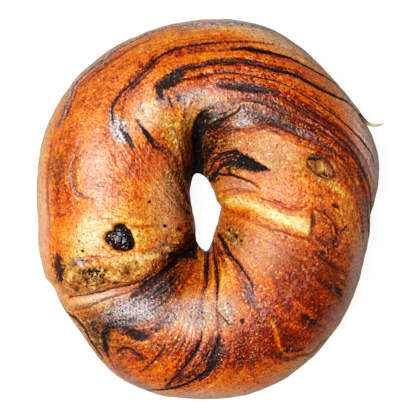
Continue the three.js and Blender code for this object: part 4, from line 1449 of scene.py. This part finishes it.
def add_floor():
    mesh = bpy.data.meshes.new("floor")
    corners = [(x * FLOOR_HALF, y * FLOOR_HALF, -FLOOR_DROP) for x, y in [(-1, -1), (1, -1), (1, 1), (-1, 1)]]
    mesh.from_pydata(corners, [], [(0, 1, 2, 3)])
    nodes = Nodes("pale floor")
    mesh.materials.append(nodes.finish(FLOOR_COLOUR, 0.8))
    nodes.put(nodes.shader.inputs["Emission Color"], (1, 1, 1, 1))
    nodes.put(nodes.shader.inputs["Emission Strength"], camera_glow(nodes.tree, *FLOOR_GLOW))
    new_object("floor", mesh)


def add_softbox():
    data = bpy.data.lights.new("key softbox", "AREA")
    data.size = SOFTBOX_SIZE
    data.energy = SOFTBOX_RADIANCE * math.pi * SOFTBOX_SIZE ** 2
    lamp = new_object("key softbox", data)
    lamp.location = SOFTBOX_PLACE
    lamp.rotation_euler = (Vector(SOFTBOX_AIM) - Vector(SOFTBOX_PLACE)).to_track_quat("-Z", "Y").to_euler()


def add_world():
    """A dim room with a pale backdrop, so that only the softbox shows in the gloss."""
    world = bpy.data.worlds.new("studio")
    world.use_nodes = True
    tree = world.node_tree
    background = tree.nodes["Background"].inputs
    background["Color"].default_value = (1, 1, 1, 1)
    tree.links.new(camera_glow(tree, *ROOM_GLOW), background["Strength"])
    bpy.context.scene.world = world


def add_camera(shift):
    data = bpy.data.cameras.new("camera")
    data.sensor_width = SENSOR
    data.lens = SENSOR * CAMERA_DISTANCE / VIEW_WIDTH
    data.clip_start, data.clip_end = 0.05, 10
    camera = new_object("camera", data)
    place = np.array([*VIEW_MIDDLE, WAIST_HEIGHT + CAMERA_DISTANCE]) + shift
    camera.location = place * MM
    bpy.context.scene.camera = camera


def set_contrast():
    """The photograph's strong contrast: dark tones are darker and bright ones brighter than they were."""
    view = bpy.context.scene.view_settings
    view.view_transform = "Standard"
    view.use_curve_mapping = True
    for tone in CONTRAST_CURVE:
        view.curve_mapping.curves[3].points.new(*tone)
    view.curve_mapping.update()


def plan_shift():
    """From the plan's own middle to the frame's, so that the crust lies where the solid dough does."""
    low, high = (np.array(corner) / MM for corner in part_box("dough"))
    points = crust_grid()[0].reshape(-1, 3)
    shift = (low + high) / 2 - (points.min(0) + points.max(0)) / 2
    shift[2] = 0
    return shift


shift = plan_shift()
crust, group_count, crust_tree = crust_mesh(shift)
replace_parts(add_object("bagel_crust", crust, crust_material(group_count)), "dough")
raisin_low, raisin_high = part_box("raisin")
raisin_middle = np.array((raisin_low + raisin_high) / 2) / MM
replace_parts(add_object("wrinkled_raisin", raisin_mesh(raisin_middle), raisin_material()), "raisin")
add_object("dried_dough_thread", thread_mesh(crust_tree, shift), thread_material())

add_floor()
add_world()
add_softbox()
add_camera(shift)
set_contrast()
